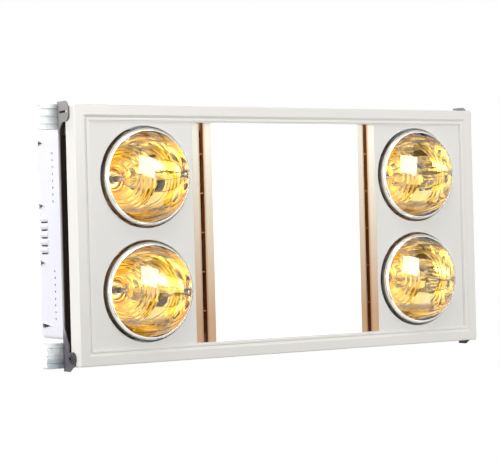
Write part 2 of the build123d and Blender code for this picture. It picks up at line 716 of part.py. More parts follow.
for side_name, side in (("left", -1), ("right", 1)):
    with BuildPart() as lamp_bridge:
        with BuildSketch(Plane.XZ):
            with Locations((side * lamp_x, bridge_z + bridge_height / 2)):
                Rectangle(bridge_width, bridge_height)
            with Locations((side * lamp_x, bridge_z + bridge_sheet + bridge_height / 2)):
                Rectangle(bridge_width - 2 * bridge_sheet, bridge_height, mode=Mode.SUBTRACT)
            for flange_side in (-1, 1):
                flange_x = side * lamp_x + flange_side * (bridge_width + bridge_flange) / 2
                with Locations((flange_x, ceiling_z - bridge_sheet / 2)):
                    Rectangle(bridge_flange, bridge_sheet)
        extrude(amount=housing_inner_width / 2 - seat_gap, both=True)
        with BuildSketch(Plane.XY.offset(bridge_z)):
            for sy in (-1, 1):
                with Locations((side * lamp_x, sy * lamp_y)):
                    with GridLocations(holder_screw_pitch, holder_screw_pitch, 2, 1):
                        Circle(holder_screw_diameter / 2 + screw_clearance)
        extrude(amount=bridge_sheet, mode=Mode.SUBTRACT)
    save(lamp_bridge, f"{side_name}_lamp_bridge")

# Heat lamps: hollow blown glass, a thin threaded cap, and a stem that carries the filament
lamp_radius = lamp_diameter / 2
apex_z = front_z - lamp_stand
dome_share = 0.84
shoulder_share = 0.072
body_share = 0.5489
reflector_share = 0.8427
dome_radius = lamp_diameter * dome_share
shoulder_radius = lamp_diameter * shoulder_share
neck_radius = 15.0
body_height = lamp_length * body_share
reflector_angle = 2 * atan2(lamp_radius - neck_radius, body_height)
reflector_radius = body_height / sin(reflector_angle) * reflector_share
glass_wall = 1.2
cap_length = 27.0
cap_step = 1.8
cap_radius = neck_radius - cap_step
cap_collar_height = 4.0
cap_collar_wall = 1.0
cap_thread_pitch = 4.0
cap_thread_depth = 0.8
contact_radius = 5.0
contact_height = 3.0
stem_radius = 4.5
stem_flare_height = 6.0
filament_ring_radius = 12.0
filament_radius = 1.0
lead_radius = 0.7
filament_drop = 42.0
filament_gap_angle = 40.0
dome_angle = asin((lamp_radius - shoulder_radius) / (dome_radius - shoulder_radius))
waist_z = apex_z + dome_radius - (dome_radius - shoulder_radius) * cos(dome_angle)
contact_z = apex_z + lamp_length
cap_base_z = contact_z - cap_length + cap_collar_height


def bulb_profile(inset, top_z):
    """Return half of the bulb's outline, moved in by inset, from its apex to top_z."""
    dome = dome_radius - inset
    shoulder = shoulder_radius - inset
    body = reflector_radius - inset
    dome_centre_z = apex_z + dome_radius
    body_end_x = lamp_radius - reflector_radius + body * cos(reflector_angle)
    body_end_z = waist_z + body * sin(reflector_angle)
    throat = (lamp_radius - reflector_radius * (1 - cos(reflector_angle)) - neck_radius) / (1 - cos(reflector_angle))
    throat_z = body_end_z + (throat + inset) * sin(reflector_angle)
    neck_x = neck_radius - inset
    middle = (dome_angle + radians(90)) / 2
    shoulder_x = lamp_radius - shoulder_radius
    with BuildSketch() as profile:
        with BuildLine():
            ThreePointArc(
                (0, dome_centre_z - dome),
                (dome * sin(dome_angle / 2), dome_centre_z - dome * cos(dome_angle / 2)),
                (dome * sin(dome_angle), dome_centre_z - dome * cos(dome_angle)),
            )
            ThreePointArc(
                (dome * sin(dome_angle), dome_centre_z - dome * cos(dome_angle)),
                (shoulder_x + shoulder * sin(middle), waist_z - shoulder * cos(middle)),
                (lamp_radius - inset, waist_z),
            )
            ThreePointArc(
                (lamp_radius - inset, waist_z),
                (
                    lamp_radius - reflector_radius + body * cos(reflector_angle / 2),
                    waist_z + body * sin(reflector_angle / 2),
                ),
                (body_end_x, body_end_z),
            )
            ThreePointArc(
                (body_end_x, body_end_z),
                (
                    neck_x + (throat + inset) * (1 - cos(reflector_angle / 2)),
                    throat_z - (throat + inset) * sin(reflector_angle / 2),
                ),
                (neck_x, throat_z),
            )
            Polyline((neck_x, throat_z), (neck_x, top_z), (0, top_z), (0, dome_centre_z - dome))
        make_face()
    return profile.sketch


for number, (spot_x, spot_y) in enumerate(lamp_spots, 1):
    spot = Plane((spot_x, spot_y, 0), x_dir=(1, 0, 0), z_dir=(0, -1, 0))
    lamp_axis = Axis((spot_x, spot_y, 0), (0, 0, 1))

    with BuildPart() as lamp_glass:
        with BuildSketch(spot):
            add(bulb_profile(0, cap_base_z))
        revolve(axis=lamp_axis)
        with BuildSketch(spot):
            add(bulb_profile(glass_wall, cap_base_z - glass_wall))
        revolve(axis=lamp_axis, mode=Mode.SUBTRACT)
    save(lamp_glass, f"lamp_glass_{number}")

    with BuildPart() as lamp_cap:
        with BuildSketch(spot):
            with BuildLine():
                Polyline(
                    (0, cap_base_z),
                    (neck_radius + running_clearance, cap_base_z),
                    (neck_radius + running_clearance, cap_base_z - cap_collar_height),
                    (neck_radius + cap_collar_wall, cap_base_z - cap_collar_height),
                    (neck_radius + cap_collar_wall, cap_base_z + cap_collar_wall),
                    (cap_radius - cap_thread_depth, cap_base_z + 2 * cap_collar_wall),
                    (cap_radius, cap_base_z + cap_thread_pitch),
                    (cap_radius - cap_thread_depth, cap_base_z + cap_thread_pitch * 3 / 2),
                    (cap_radius, cap_base_z + cap_thread_pitch * 2),
                    (cap_radius - cap_thread_depth, cap_base_z + cap_thread_pitch * 5 / 2),
                    (cap_radius, cap_base_z + cap_thread_pitch * 3),
                    (cap_radius - cap_thread_depth, cap_base_z + cap_thread_pitch * 7 / 2),
                    (cap_radius - cap_thread_depth, contact_z - 2 * contact_height),
                    (contact_radius, contact_z - contact_height),
                    (contact_radius, contact_z),
                    (0, contact_z),
                    close=True,
                )
            make_face()
        revolve(axis=lamp_axis)
    save(lamp_cap, f"lamp_cap_{number}")

    stem_top_z = cap_base_z - glass_wall - seat_gap
    filament_z = waist_z + filament_drop
    with BuildPart() as lamp_filament:
        with BuildSketch(spot):
            with BuildLine():
                Polyline(
                    (0, stem_top_z),
                    (neck_radius - glass_wall - seat_gap, stem_top_z),
                    (stem_radius, stem_top_z - stem_flare_height),
                    (stem_radius, filament_z + filament_ring_radius * 2),
                    (lead_radius * 3, filament_z + filament_ring_radius * 3 / 2),
                    (0, filament_z + filament_ring_radius * 3 / 2),
                    close=True,
                )
            make_face()
        revolve(axis=lamp_axis)
        for lean in (-1, 1):
            lead_foot = Vector(spot_x + lean * stem_radius / 2, spot_y, filament_z + filament_ring_radius * 2)
            lead_tip = Vector(spot_x + lean * filament_ring_radius, spot_y, filament_z)
            with BuildSketch(Plane(origin=lead_foot, z_dir=lead_tip - lead_foot)):
                Circle(lead_radius)
            extrude(amount=(lead_tip - lead_foot).length)
        with BuildSketch(spot):
            with Locations((filament_ring_radius, filament_z)):
                Circle(filament_radius)
        revolve(axis=lamp_axis, revolution_arc=360 - filament_gap_angle)
    save(lamp_filament, f"lamp_filament_{number}")

# Lampholders: glazed ceramic, screwed under the bridges
holder_wall = 6.5
holder_flange = 3.0
holder_base_height = 5.0
holder_mouth_gap = 2.5
holder_bevel = 1.6
holder_ring_height = 5.0
holder_z = cap_base_z + holder_mouth_gap
holder_bore = cap_radius + seat_gap
holder_radius = holder_bore + holder_wall
holder_base_radius = holder_radius + holder_flange
holder_ring_radius = holder_radius - holder_bevel

for number, (spot_x, spot_y) in enumerate(lamp_spots, 1):
    spot = Plane((spot_x, spot_y, 0), x_dir=(1, 0, 0), z_dir=(0, -1, 0))
    with BuildPart() as lampholder:
        with BuildSketch(spot):
            with BuildLine():
                Polyline(
                    (holder_bore, holder_z),
                    (holder_ring_radius, holder_z),
                    (holder_radius, holder_z + holder_ring_height),
                    (holder_radius, bridge_z - holder_base_height),
                    (holder_base_radius, bridge_z - holder_base_height),
                    (holder_base_radius, bridge_z),
                    (0, bridge_z),
                    (0, contact_z + seat_gap),
                    (holder_bore, contact_z + seat_gap),
                    close=True,
                )
            make_face()
        revolve(axis=Axis((spot_x, spot_y, 0), (0, 0, 1)))
        with BuildSketch(Plane.XY.offset(bridge_z)):
            with Locations((spot_x, spot_y)):
                with GridLocations(holder_screw_pitch, holder_screw_pitch, 2, 1):
                    Circle(holder_screw_diameter / 2 + running_clearance)
        extrude(amount=-holder_base_height + seat_gap, mode=Mode.SUBTRACT)
    save(lampholder, f"lampholder_{number}")

with BuildPart() as holder_screws:
    for sink, diameter, height in (
        (bridge_sheet, small_head_diameter, small_head_height),
        (bridge_sheet, holder_screw_diameter, -bridge_sheet - holder_base_height / 2),
    ):
        with BuildSketch(Plane.XY.offset(bridge_z + sink)):
            for centre in lamp_spots:
                with Locations(centre):
                    with GridLocations(holder_screw_pitch, holder_screw_pitch, 2, 1):
                        Circle(diameter / 2)
        extrude(amount=height)
save(holder_screws, "holder_screws")

# Exhaust fan: a spiral scroll with an inlet ring, a bladed impeller and a motor above it
scroll_wall = 1.0
inlet_step = 13.0
inlet_lip = 14.0
inlet_sheet = 1.2
inlet_flange = 5.0
mouth_rise = 5.0
motor_share = 0.56
motor_radius_gap = 2.0
scroll_growth = scroll_reach * scroll_growth_share
impeller_diameter = scroll_reach * impeller_share
inlet_diameter = impeller_diameter - 2 * inlet_step
scroll_height = ceiling_z - scroll_top_gap - scroll_floor
scroll_top_z = scroll_floor + scroll_height
tongue_centre = (-scroll_growth / 2, fan_y - scroll_growth / 2)
tongue_radius = scroll_reach - scroll_growth * 7 / 2
outlet_left = scroll_reach - outlet_width
outlet_y = -housing_side + housing_wall
inlet_radius = inlet_diameter / 2
motor_diameter = impeller_diameter * motor_share
mouth_edge = inlet_radius + inlet_lip
mouth_z = scroll_floor - inlet_sheet
motor_drop = 20.0


def scroll_outline(inset, end_y):
    """Return the scroll's plan of four quarter arcs, moved in by inset, down to end_y."""
    half = scroll_growth / 2
    radius = scroll_reach - half - inset
    left = outlet_left + inset
    turn = acos((left - tongue_centre[0]) / (tongue_radius - inset))
    tongue_y = tongue_centre[1] - (tongue_radius - inset) * sin(turn)
    with BuildSketch() as outline:
        with BuildLine():
            CenterArc((half, fan_y - half), radius, 0, 90)
            CenterArc((half, fan_y + half), radius - scroll_growth, 90, 90)
            CenterArc((-half, fan_y + half), radius - 2 * scroll_growth, 180, 90)
            CenterArc(tongue_centre, tongue_radius - inset, 270, 90 - degrees(turn))
            Polyline(
                (left, tongue_y),
                (left, end_y),
                (scroll_reach - inset, end_y),
                (scroll_reach - inset, fan_y - half),
            )
        make_face()
    return outline.sketch


with BuildPart() as fan_scroll:
    with BuildSketch(Plane.XY.offset(scroll_floor)):
        add(scroll_outline(0, outlet_y))
    extrude(amount=scroll_height)
    with BuildSketch(Plane.XY.offset(scroll_floor + scroll_wall)):
        add(scroll_outline(scroll_wall, outlet_y - cut_overrun))
    extrude(amount=scroll_height - 2 * scroll_wall, mode=Mode.SUBTRACT)
    with BuildSketch(Plane.XY.offset(scroll_floor - cut_overrun)):
        with Locations((0, fan_y)):
            Circle(mouth_edge + seat_gap)
    extrude(amount=scroll_wall + 2 * cut_overrun, mode=Mode.SUBTRACT)
    with BuildSketch(Plane.XY.offset(scroll_top_z + cut_overrun)):
        with Locations((0, fan_y)):
            Circle(motor_diameter / 2 + motor_radius_gap)
    extrude(amount=-scroll_wall - 2 * cut_overrun, mode=Mode.SUBTRACT)
save(fan_scroll, "fan_scroll")

with BuildPart() as inlet_ring:
    with BuildSketch(Plane((0, fan_y, 0), x_dir=(1, 0, 0), z_dir=(0, -1, 0))):
        with BuildLine():
            Polyline(
                (inlet_radius, mouth_z + mouth_rise),
                (inlet_radius + inlet_sheet, mouth_z + mouth_rise),
            )
            ThreePointArc(
                (inlet_radius + inlet_sheet, mouth_z + mouth_rise),
                (
                    mouth_edge - (inlet_lip - inlet_sheet) * sin(radians(45)),
                    mouth_z + mouth_rise - (mouth_rise - inlet_sheet) * sin(radians(45)),
                ),
                (mouth_edge, mouth_z + inlet_sheet),
            )
            Polyline(
                (mouth_edge, mouth_z + inlet_sheet),
                (mouth_edge + inlet_flange, mouth_z + inlet_sheet),
                (mouth_edge + inlet_flange, mouth_z),
                (mouth_edge, mouth_z),
            )
            ThreePointArc(
                (mouth_edge, mouth_z),
                (mouth_edge - inlet_lip * sin(radians(45)), mouth_z + mouth_rise * (1 - sin(radians(45)))),
                (inlet_radius, mouth_z + mouth_rise),
            )
        make_face()
    revolve(axis=Axis((0, fan_y, 0), (0, 0, 1)))
save(inlet_ring, "inlet_ring")

impeller_gap = 6.0
blade_count = 32
blade_chord = 13.0
blade_thickness = 0.9
blade_sweep_angle = 9.0
blade_bulge = 2.6
rim_band = 3.0
disc_thickness = 1.4
hub_diameter = 26.0
hub_height = 16.0
shaft_diameter = 8.0
shaft_length = 44.0
impeller_radius = impeller_diameter / 2
impeller_z = scroll_floor + impeller_gap
motor_z = scroll_top_z - motor_drop
disc_z = motor_z - impeller_gap / 2
blade_height = disc_z - impeller_z
blade_root = impeller_radius - blade_chord

with BuildPart() as impeller:
    with BuildSketch(Plane.XY.offset(impeller_z)):
        for index in range(blade_count):
            start = radians(index * 360 / blade_count)
            finish = start + radians(blade_sweep_angle)
            mean = (start + finish) / 2
            middle_r = (blade_root + impeller_radius - rim_band / 2) / 2
            tip_r = impeller_radius - rim_band / 2
            bow = blade_bulge / middle_r
            thin = blade_thickness / middle_r
            with BuildLine():
                ThreePointArc(
                    (blade_root * cos(start), fan_y + blade_root * sin(start)),
                    (middle_r * cos(mean - bow), fan_y + middle_r * sin(mean - bow)),
                    (tip_r * cos(finish), fan_y + tip_r * sin(finish)),
                )
                Line(
                    (tip_r * cos(finish), fan_y + tip_r * sin(finish)),
                    (tip_r * cos(finish + thin), fan_y + tip_r * sin(finish + thin)),
                )
                ThreePointArc(
                    (tip_r * cos(finish + thin), fan_y + tip_r * sin(finish + thin)),
                    (middle_r * cos(mean - bow + thin), fan_y + middle_r * sin(mean - bow + thin)),
                    (blade_root * cos(start + thin), fan_y + blade_root * sin(start + thin)),
                )
                Line(
                    (blade_root * cos(start + thin), fan_y + blade_root * sin(start + thin)),
                    (blade_root * cos(start), fan_y + blade_root * sin(start)),
                )
            make_face()
    extrude(amount=blade_height)
    with BuildSketch(Plane.XY.offset(impeller_z)):
        with Locations((0, fan_y)):
            Circle(impeller_radius)
            Circle(impeller_radius - rim_band, mode=Mode.SUBTRACT)
    extrude(amount=disc_thickness)
    with BuildSketch(Plane.XY.offset(disc_z - disc_thickness)):
        with Locations((0, fan_y)):
            Circle(impeller_radius)
    extrude(amount=disc_thickness)
    with BuildSketch(Plane.XY.offset(disc_z - hub_height)):
        with Locations((0, fan_y)):
            Circle(hub_diameter / 2)
    extrude(amount=hub_height)
    with BuildSketch(Plane.XY.offset(disc_z - hub_height)):
        with Locations((0, fan_y)):
            Circle(shaft_diameter / 2 + running_clearance / 2)
    extrude(amount=hub_height, mode=Mode.SUBTRACT)
save(impeller, "impeller")

with BuildPart() as fan_shaft:
    with BuildSketch(Plane.XY.offset(disc_z - hub_height - shaft_diameter / 2)):
        with Locations((0, fan_y)):
            Circle(shaft_diameter / 2)
    extrude(amount=shaft_length)
    chamfer(fan_shaft.faces().sort_by(Axis.Z)[0].edges(), shaft_diameter / 8)
save(fan_shaft, "fan_shaft")

# Motor: a flat can with a ribbed side, hung from a plate under the housing top
motor_plate_overhang = 53.0
motor_plate_width = 46.0
motor_plate_sheet = 1.5
motor_flange_step = 6.0
motor_fin_count = 12
motor_fin_width = 5.0
motor_fin_depth = 1.6
motor_edge_radius = 2.0
motor_screw_inset = 11.0
motor_plate_length = motor_diameter + 2 * motor_plate_overhang
motor_flange_diameter = motor_diameter + 2 * motor_flange_step
motor_screw_pitch = motor_plate_length - 2 * motor_screw_inset
motor_top_z = ceiling_z - motor_plate_sheet
shaft_top_z = disc_z - hub_height - shaft_diameter / 2 + shaft_length

with BuildPart() as fan_motor:
    with BuildSketch(Plane.XY.offset(motor_z)):
        with Locations((0, fan_y)):
            Circle(motor_diameter / 2)
            with PolarLocations(motor_diameter / 2, motor_fin_count):
                Rectangle(2 * motor_fin_depth, motor_fin_width, mode=Mode.SUBTRACT)
    extrude(amount=motor_top_z - motor_z)
    with BuildSketch(Plane.XY.offset(motor_z)):
        with Locations((0, fan_y)):
            Circle(shaft_diameter / 2 + running_clearance)
    extrude(amount=shaft_top_z - motor_z + seat_gap, mode=Mode.SUBTRACT)
save(fan_motor, "fan_motor")

motor_screw_spots = [(-motor_screw_pitch / 2, fan_y), (motor_screw_pitch / 2, fan_y)]
with BuildPart() as motor_plate:
    with BuildSketch(Plane.XY.offset(motor_top_z)):
        with Locations((0, fan_y)):
            Rectangle(motor_plate_length, motor_plate_width)
            Circle(motor_flange_diameter / 2)
        with Locations(*motor_screw_spots):
            Circle(bracket_screw_diameter / 2 + screw_clearance, mode=Mode.SUBTRACT)
    extrude(amount=motor_plate_sheet)
save(motor_plate, "motor_plate")

with BuildPart() as motor_screws:
    with BuildSketch(Plane.XY.offset(motor_top_z)):
        with Locations(*motor_screw_spots):
            Circle(rivet_head_diameter / 2)
    extrude(amount=-rivet_head_height)
    with BuildSketch(Plane.XY.offset(motor_top_z)):
        with Locations(*motor_screw_spots):
            Circle(bracket_screw_diameter / 2)
    extrude(amount=motor_plate_sheet)
save(motor_screws, "motor_screws")

# Run capacitor: a can that stands head down, held by its stud under the housing top
capacitor_diameter = 32.0
capacitor_length = 56.0
capacitor_inset_x = 32.0
capacitor_inset_y = 45.0
capacitor_edge = 1.5
capacitor_tab_width = 6.3
capacitor_tab_sheet = 0.8
capacitor_tab_length = 9.0
capacitor_nut_flats = 13.0
capacitor_nut_height = 5.0
capacitor_x = -shield_x + capacitor_inset_x
capacitor_y = -housing_side + capacitor_inset_y

with BuildPart() as run_capacitor:
    with BuildSketch(Plane.XY.offset(ceiling_z)):
        with Locations((capacitor_x, capacitor_y)):
            RegularPolygon(capacitor_nut_flats / 2, 6, major_radius=False)
    extrude(amount=-capacitor_nut_height)
    with BuildSketch(Plane.XY.offset(ceiling_z - capacitor_nut_height)):
        with Locations((capacitor_x, capacitor_y)):
            Circle(capacitor_diameter / 2)
    extrude(amount=-capacitor_length)
    fillet(run_capacitor.faces().sort_by(Axis.Z)[0].edges(), capacitor_edge)
    with BuildSketch(Plane.XY.offset(ceiling_z - capacitor_nut_height - capacitor_length)):
        with Locations((capacitor_x, capacitor_y)):
            with GridLocations(capacitor_diameter / 2, capacitor_diameter / 2, 2, 1):
                Rectangle(capacitor_tab_sheet, capacitor_tab_width)
    extrude(amount=-capacitor_tab_length)
save(run_capacitor, "run_capacitor")

# Duct spigot with its gravity damper, screwed to the housing's side over the scroll outlet
spigot_length = 34.0
spigot_flange_step = 7.5
spigot_flange_trim = 14.0
spigot_sheet = 1.5
spigot_screw_inset = 6.0
flap_gap = 1.5
flap_thickness = 1.2
flap_pivot_rise = 12.0
flap_pivot_y = 10.0
flap_barrel_diameter = 5.4
flap_barrel_share = 0.6
spindle_diameter = 3.0
lug_width = 8.0
lug_height = 4.0
lug_depth = 3.0
spigot_y = housing_side + spigot_sheet
pivot_y = housing_side + flap_pivot_y
pivot_z = duct_z + flap_pivot_rise
spigot_bore_radius = duct_bore / 2
spigot_flange_width = duct_diameter + 2 * spigot_flange_step
spigot_flange_height = spigot_flange_width - spigot_flange_trim
spigot_screw_pitch_x = spigot_flange_width - 2 * spigot_screw_inset
spigot_screw_pitch_z = spigot_flange_height - 2 * spigot_screw_inset
flap_radius = spigot_bore_radius - flap_gap
flap_barrel_length = 2 * flap_radius * flap_barrel_share
spindle_half = duct_diameter / 2 * cos(asin(2 * flap_pivot_rise / duct_diameter)) - seat_gap * 2

with BuildPart() as duct_spigot:
    with BuildSketch(Plane.XZ.offset(housing_side)):
        with Locations((duct_x, duct_z)):
            Rectangle(spigot_flange_width, spigot_flange_height)
    extrude(amount=spigot_sheet)
    with BuildSketch(Plane.XZ.offset(housing_side)):
        with Locations((duct_x, duct_z)):
            Circle(duct_diameter / 2)
    extrude(amount=spigot_length)
    with BuildSketch(Plane.XZ.offset(housing_side - cut_overrun)):
        with Locations((duct_x, duct_z)):
            Circle(spigot_bore_radius)
            with GridLocations(spigot_screw_pitch_x, spigot_screw_pitch_z, 2, 2):
                Circle(small_screw_diameter / 2 + screw_clearance)
    extrude(amount=spigot_length + 2 * cut_overrun, mode=Mode.SUBTRACT)
    with BuildSketch(Plane.XZ.offset(pivot_y - flap_thickness / 2 - seat_gap - lug_depth)):
        with Locations((duct_x, duct_z - spigot_bore_radius + lug_height / 2 - duct_wall / 2)):
            Rectangle(lug_width, lug_height + duct_wall / 2)
    extrude(amount=lug_depth)
    with BuildSketch(Plane.YZ.offset(duct_x - duct_diameter)):
        with Locations((-pivot_y, pivot_z)):
            Circle(spindle_diameter / 2 + running_clearance)
    extrude(amount=2 * duct_diameter, mode=Mode.SUBTRACT)
save(duct_spigot, "duct_spigot")

with BuildPart() as spigot_screws:
    for diameter, height in (
        (small_head_diameter, small_head_height),
        (small_screw_diameter, -spigot_sheet),
    ):
        with BuildSketch(Plane.XZ.offset(spigot_y)):
            with Locations((duct_x, duct_z)):
                with GridLocations(spigot_screw_pitch_x, spigot_screw_pitch_z, 2, 2):
                    Circle(diameter / 2)
        extrude(amount=height)
save(spigot_screws, "spigot_screws")

with BuildPart() as damper_flap:
    with BuildSketch(Plane.XZ.offset(pivot_y)):
        with Locations((duct_x, duct_z)):
            Circle(flap_radius)
    extrude(amount=flap_thickness / 2, both=True)
    with BuildSketch(Plane.YZ.offset(duct_x)):
        with Locations((-pivot_y, pivot_z)):
            Circle(flap_barrel_diameter / 2)
    extrude(amount=flap_barrel_length / 2, both=True)
    with BuildSketch(Plane.YZ.offset(duct_x)):
        with Locations((-pivot_y, pivot_z)):
            Circle(spindle_diameter / 2 + running_clearance / 2)
    extrude(amount=flap_radius, both=True, mode=Mode.SUBTRACT)
save(damper_flap, "damper_flap")

with BuildPart() as damper_spindle:
    with BuildSketch(Plane.YZ.offset(duct_x)):
        with Locations((-pivot_y, pivot_z)):
            Circle(spindle_diameter / 2)
    extrude(amount=spindle_half, both=True)
save(damper_spindle, "damper_spindle")

# Terminal box on the right end wall: box, cover, terminal strip and cable gland
box_depth = 26.0
box_length = 84.0
box_height = 54.0
box_wall = 1.6
box_radius = 3.0
cover_lip = 1.6
block_poles = 5
block_pitch = 12.0
block_width = 20.0
block_depth = 14.0
block_hole = 3.2
gland_radius = 9.0
gland_bore = 5.0
gland_height = 18.0
gland_nut_flats = 22.0
gland_nut_height = 6.0
gland_y = 20.0
gland_rim_taper = 1.5
gland_x = housing_end + box_depth / 2
box_top_z = entry_hole_z + box_height / 2

with BuildPart() as terminal_box:
    with BuildSketch(Plane.YZ.offset(housing_end)):
        with Locations((0, entry_hole_z)):
            RectangleRounded(box_length, box_height, box_radius)
    extrude(amount=box_depth)
    with BuildSketch(Plane.YZ.offset(housing_end + box_wall)):
        with Locations((0, entry_hole_z)):
            RectangleRounded(box_length - 2 * box_wall, box_height - 2 * box_wall, box_radius - box_wall)
    extrude(amount=box_depth, mode=Mode.SUBTRACT)
    with BuildSketch(Plane.YZ.offset(housing_end - cut_overrun)):
        with Locations((0, entry_hole_z)):
            Circle(lead_hole_diameter / 2)
    extrude(amount=box_wall + 2 * cut_overrun, mode=Mode.SUBTRACT)
    with BuildSketch(Plane.XY.offset(box_top_z + cut_overrun)):
        with Locations((gland_x, gland_y)):
            Circle(gland_radius + running_clearance)
    extrude(amount=-box_wall - 2 * cut_overrun, mode=Mode.SUBTRACT)
save(terminal_box, "terminal_box")

with BuildPart() as terminal_cover:
    with BuildSketch(Plane.YZ.offset(housing_end + box_depth)):
        with Locations((0, entry_hole_z)):
            RectangleRounded(box_length, box_height, box_radius)
    extrude(amount=box_wall)
    with BuildSketch(Plane.YZ.offset(housing_end + box_depth)):
        with Locations((0, entry_hole_z)):
            Rectangle(
                box_length - 2 * box_wall - 2 * seat_gap - 2 * box_radius,
                box_height - 2 * box_wall - 2 * seat_gap,
            )
            Rectangle(
                box_length - 4 * box_wall - 2 * seat_gap - 2 * box_radius,
                box_height - 4 * box_wall - 2 * seat_gap,
                mode=Mode.SUBTRACT,
            )
    extrude(amount=-cover_lip)
    fillet(terminal_cover.faces().sort_by(Axis.X)[-1].edges(), box_wall / 2)
save(terminal_cover, "terminal_cover")

with BuildPart() as terminal_block:
    with BuildSketch(Plane.YZ.offset(housing_end + box_wall)):
        with Locations((0, entry_hole_z - box_height / 4)):
            Rectangle(block_poles * block_pitch, block_width)
    extrude(amount=block_depth)
    with BuildSketch(Plane.YZ.offset(housing_end + box_wall + block_depth)):
        with Locations((0, entry_hole_z - box_height / 4)):
            with GridLocations(block_pitch, block_width / 2, block_poles, 2):
                Circle(block_hole / 2)
    extrude(amount=-block_depth / 2, mode=Mode.SUBTRACT)
    with BuildSketch(Plane.YZ.offset(housing_end + box_wall + block_depth)):
        with Locations((0, entry_hole_z - box_height / 4)):
            with GridLocations(block_pitch, block_pitch, block_poles - 1, 1):
                Rectangle(box_wall, block_width)
    extrude(amount=-block_depth / 3, mode=Mode.SUBTRACT)
save(terminal_block, "terminal_block")

with BuildPart() as cable_gland:
    with BuildSketch(Plane.XY.offset(box_top_z - box_wall - gland_nut_height / 2)):
        with Locations((gland_x, gland_y)):
            Circle(gland_radius)
    extrude(amount=gland_height)
    with BuildSketch(Plane.XY.offset(box_top_z)):
        with Locations((gland_x, gland_y)):
            RegularPolygon(gland_nut_flats / 2, 6, major_radius=False)
    extrude(amount=gland_nut_height)
    chamfer(cable_gland.faces().sort_by(Axis.Z)[-1].edges(), gland_rim_taper)
    with BuildSketch(Plane.XY.offset(box_top_z - box_wall - gland_nut_height)):
        with Locations((gland_x, gland_y)):
            Circle(gland_bore)
    extrude(amount=gland_height + gland_nut_height, mode=Mode.SUBTRACT)
save(cable_gland, "cable_gland")

# Thermal cut-out: a disc switch that trips if the lamp chamber overheats
cutout_diameter = 16.0
cutout_height = 9.0
cutout_flange_length = 28.0
cutout_flange_sheet = 1.2
cutout_tab_width = 6.3
cutout_tab_sheet = 0.8
cutout_tab_length = 9.0
cutout_tab_pitch = 10.0
cutout_z = 84.0
cutout_x = shield_x + shield_sheet

with BuildPart() as thermal_cutout:
    with BuildSketch(Plane.YZ.offset(cutout_x)):
        with Locations((0, cutout_z)):
            Circle(cutout_diameter / 2)
    extrude(amount=cutout_height)
    with BuildSketch(Plane.YZ.offset(cutout_x)):
        with Locations((0, cutout_z)):
            SlotOverall(cutout_flange_length, cutout_diameter / 2)
    extrude(amount=cutout_flange_sheet)
    with BuildSketch(Plane.YZ.offset(cutout_x + cutout_height)):
        with Locations((0, cutout_z)):
            with GridLocations(cutout_tab_pitch, cutout_tab_pitch, 2, 1):
                Rectangle(cutout_tab_sheet, cutout_tab_width)
    extrude(amount=cutout_tab_length)
save(thermal_cutout, "thermal_cutout")
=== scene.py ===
"""Looks of a bathroom ceiling heater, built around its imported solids.

The unit hangs face down in a ceiling: +Z points up, and the camera looks up at the fascia from
below and in front of its left end. Sizes are in metres.
"""

import math

import bmesh
import bpy
from mathutils import Matrix, Vector


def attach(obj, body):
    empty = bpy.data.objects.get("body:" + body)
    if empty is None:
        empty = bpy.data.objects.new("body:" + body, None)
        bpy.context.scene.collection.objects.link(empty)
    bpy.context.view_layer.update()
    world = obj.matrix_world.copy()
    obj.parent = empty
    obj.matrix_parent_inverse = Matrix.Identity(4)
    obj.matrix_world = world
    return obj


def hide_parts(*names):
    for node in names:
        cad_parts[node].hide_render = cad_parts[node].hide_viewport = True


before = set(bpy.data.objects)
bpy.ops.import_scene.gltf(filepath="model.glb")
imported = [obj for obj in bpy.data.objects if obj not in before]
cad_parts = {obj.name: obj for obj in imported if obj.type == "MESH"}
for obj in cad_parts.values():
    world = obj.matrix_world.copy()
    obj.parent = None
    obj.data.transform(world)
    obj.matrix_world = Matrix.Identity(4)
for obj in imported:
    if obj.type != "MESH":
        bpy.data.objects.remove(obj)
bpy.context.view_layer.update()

# Room: a pale floor far below the hanging unit, whose bright and dark places show in the lamps'
# mirrors, white air all round, and soft boxes in front, at the sides and above. Two weak orange
# lights inside the housing stand for the warm light that the lamps spill there.
WHITE = (1.0, 1.0, 1.0, 1.0)
AIR_TINT = (0.98, 0.98, 1.0, 1.0)
AIR_LIGHT = 0.22
FLOOR_COLOUR = (0.93, 0.93, 0.92, 1.0)
FLOOR_ROUGHNESS = 0.7
FLOOR_LEVEL = -3.6
FLOOR_HALF = 14.0
FLOOR_CELLS = 0.45
FLOOR_LIFT = 0.70
GLOW_FROM = 0.20
GLOW_TO = 0.70
GLOW_LOW = 0.06
GLOW_HIGH = 1.65
bpy.context.scene.view_settings.view_transform = "Standard"


def feed(node, inputs):
    """Set a node's inputs to plain values, or link them to other nodes' results."""
    for title, value in inputs.items():
        if isinstance(value, bpy.types.NodeSocket):
            node.id_data.links.new(value, node.inputs[title])
        else:
            node.inputs[title].default_value = value
    return node


def summing(nodes):
    """Make the function that adds sums to one node tree."""

    def work(operation, *values):
        """Add one sum to the tree and return its result."""
        step = nodes.new("ShaderNodeMath")
        step.operation = operation
        return feed(step, dict(enumerate(values))).outputs[0]

    return work


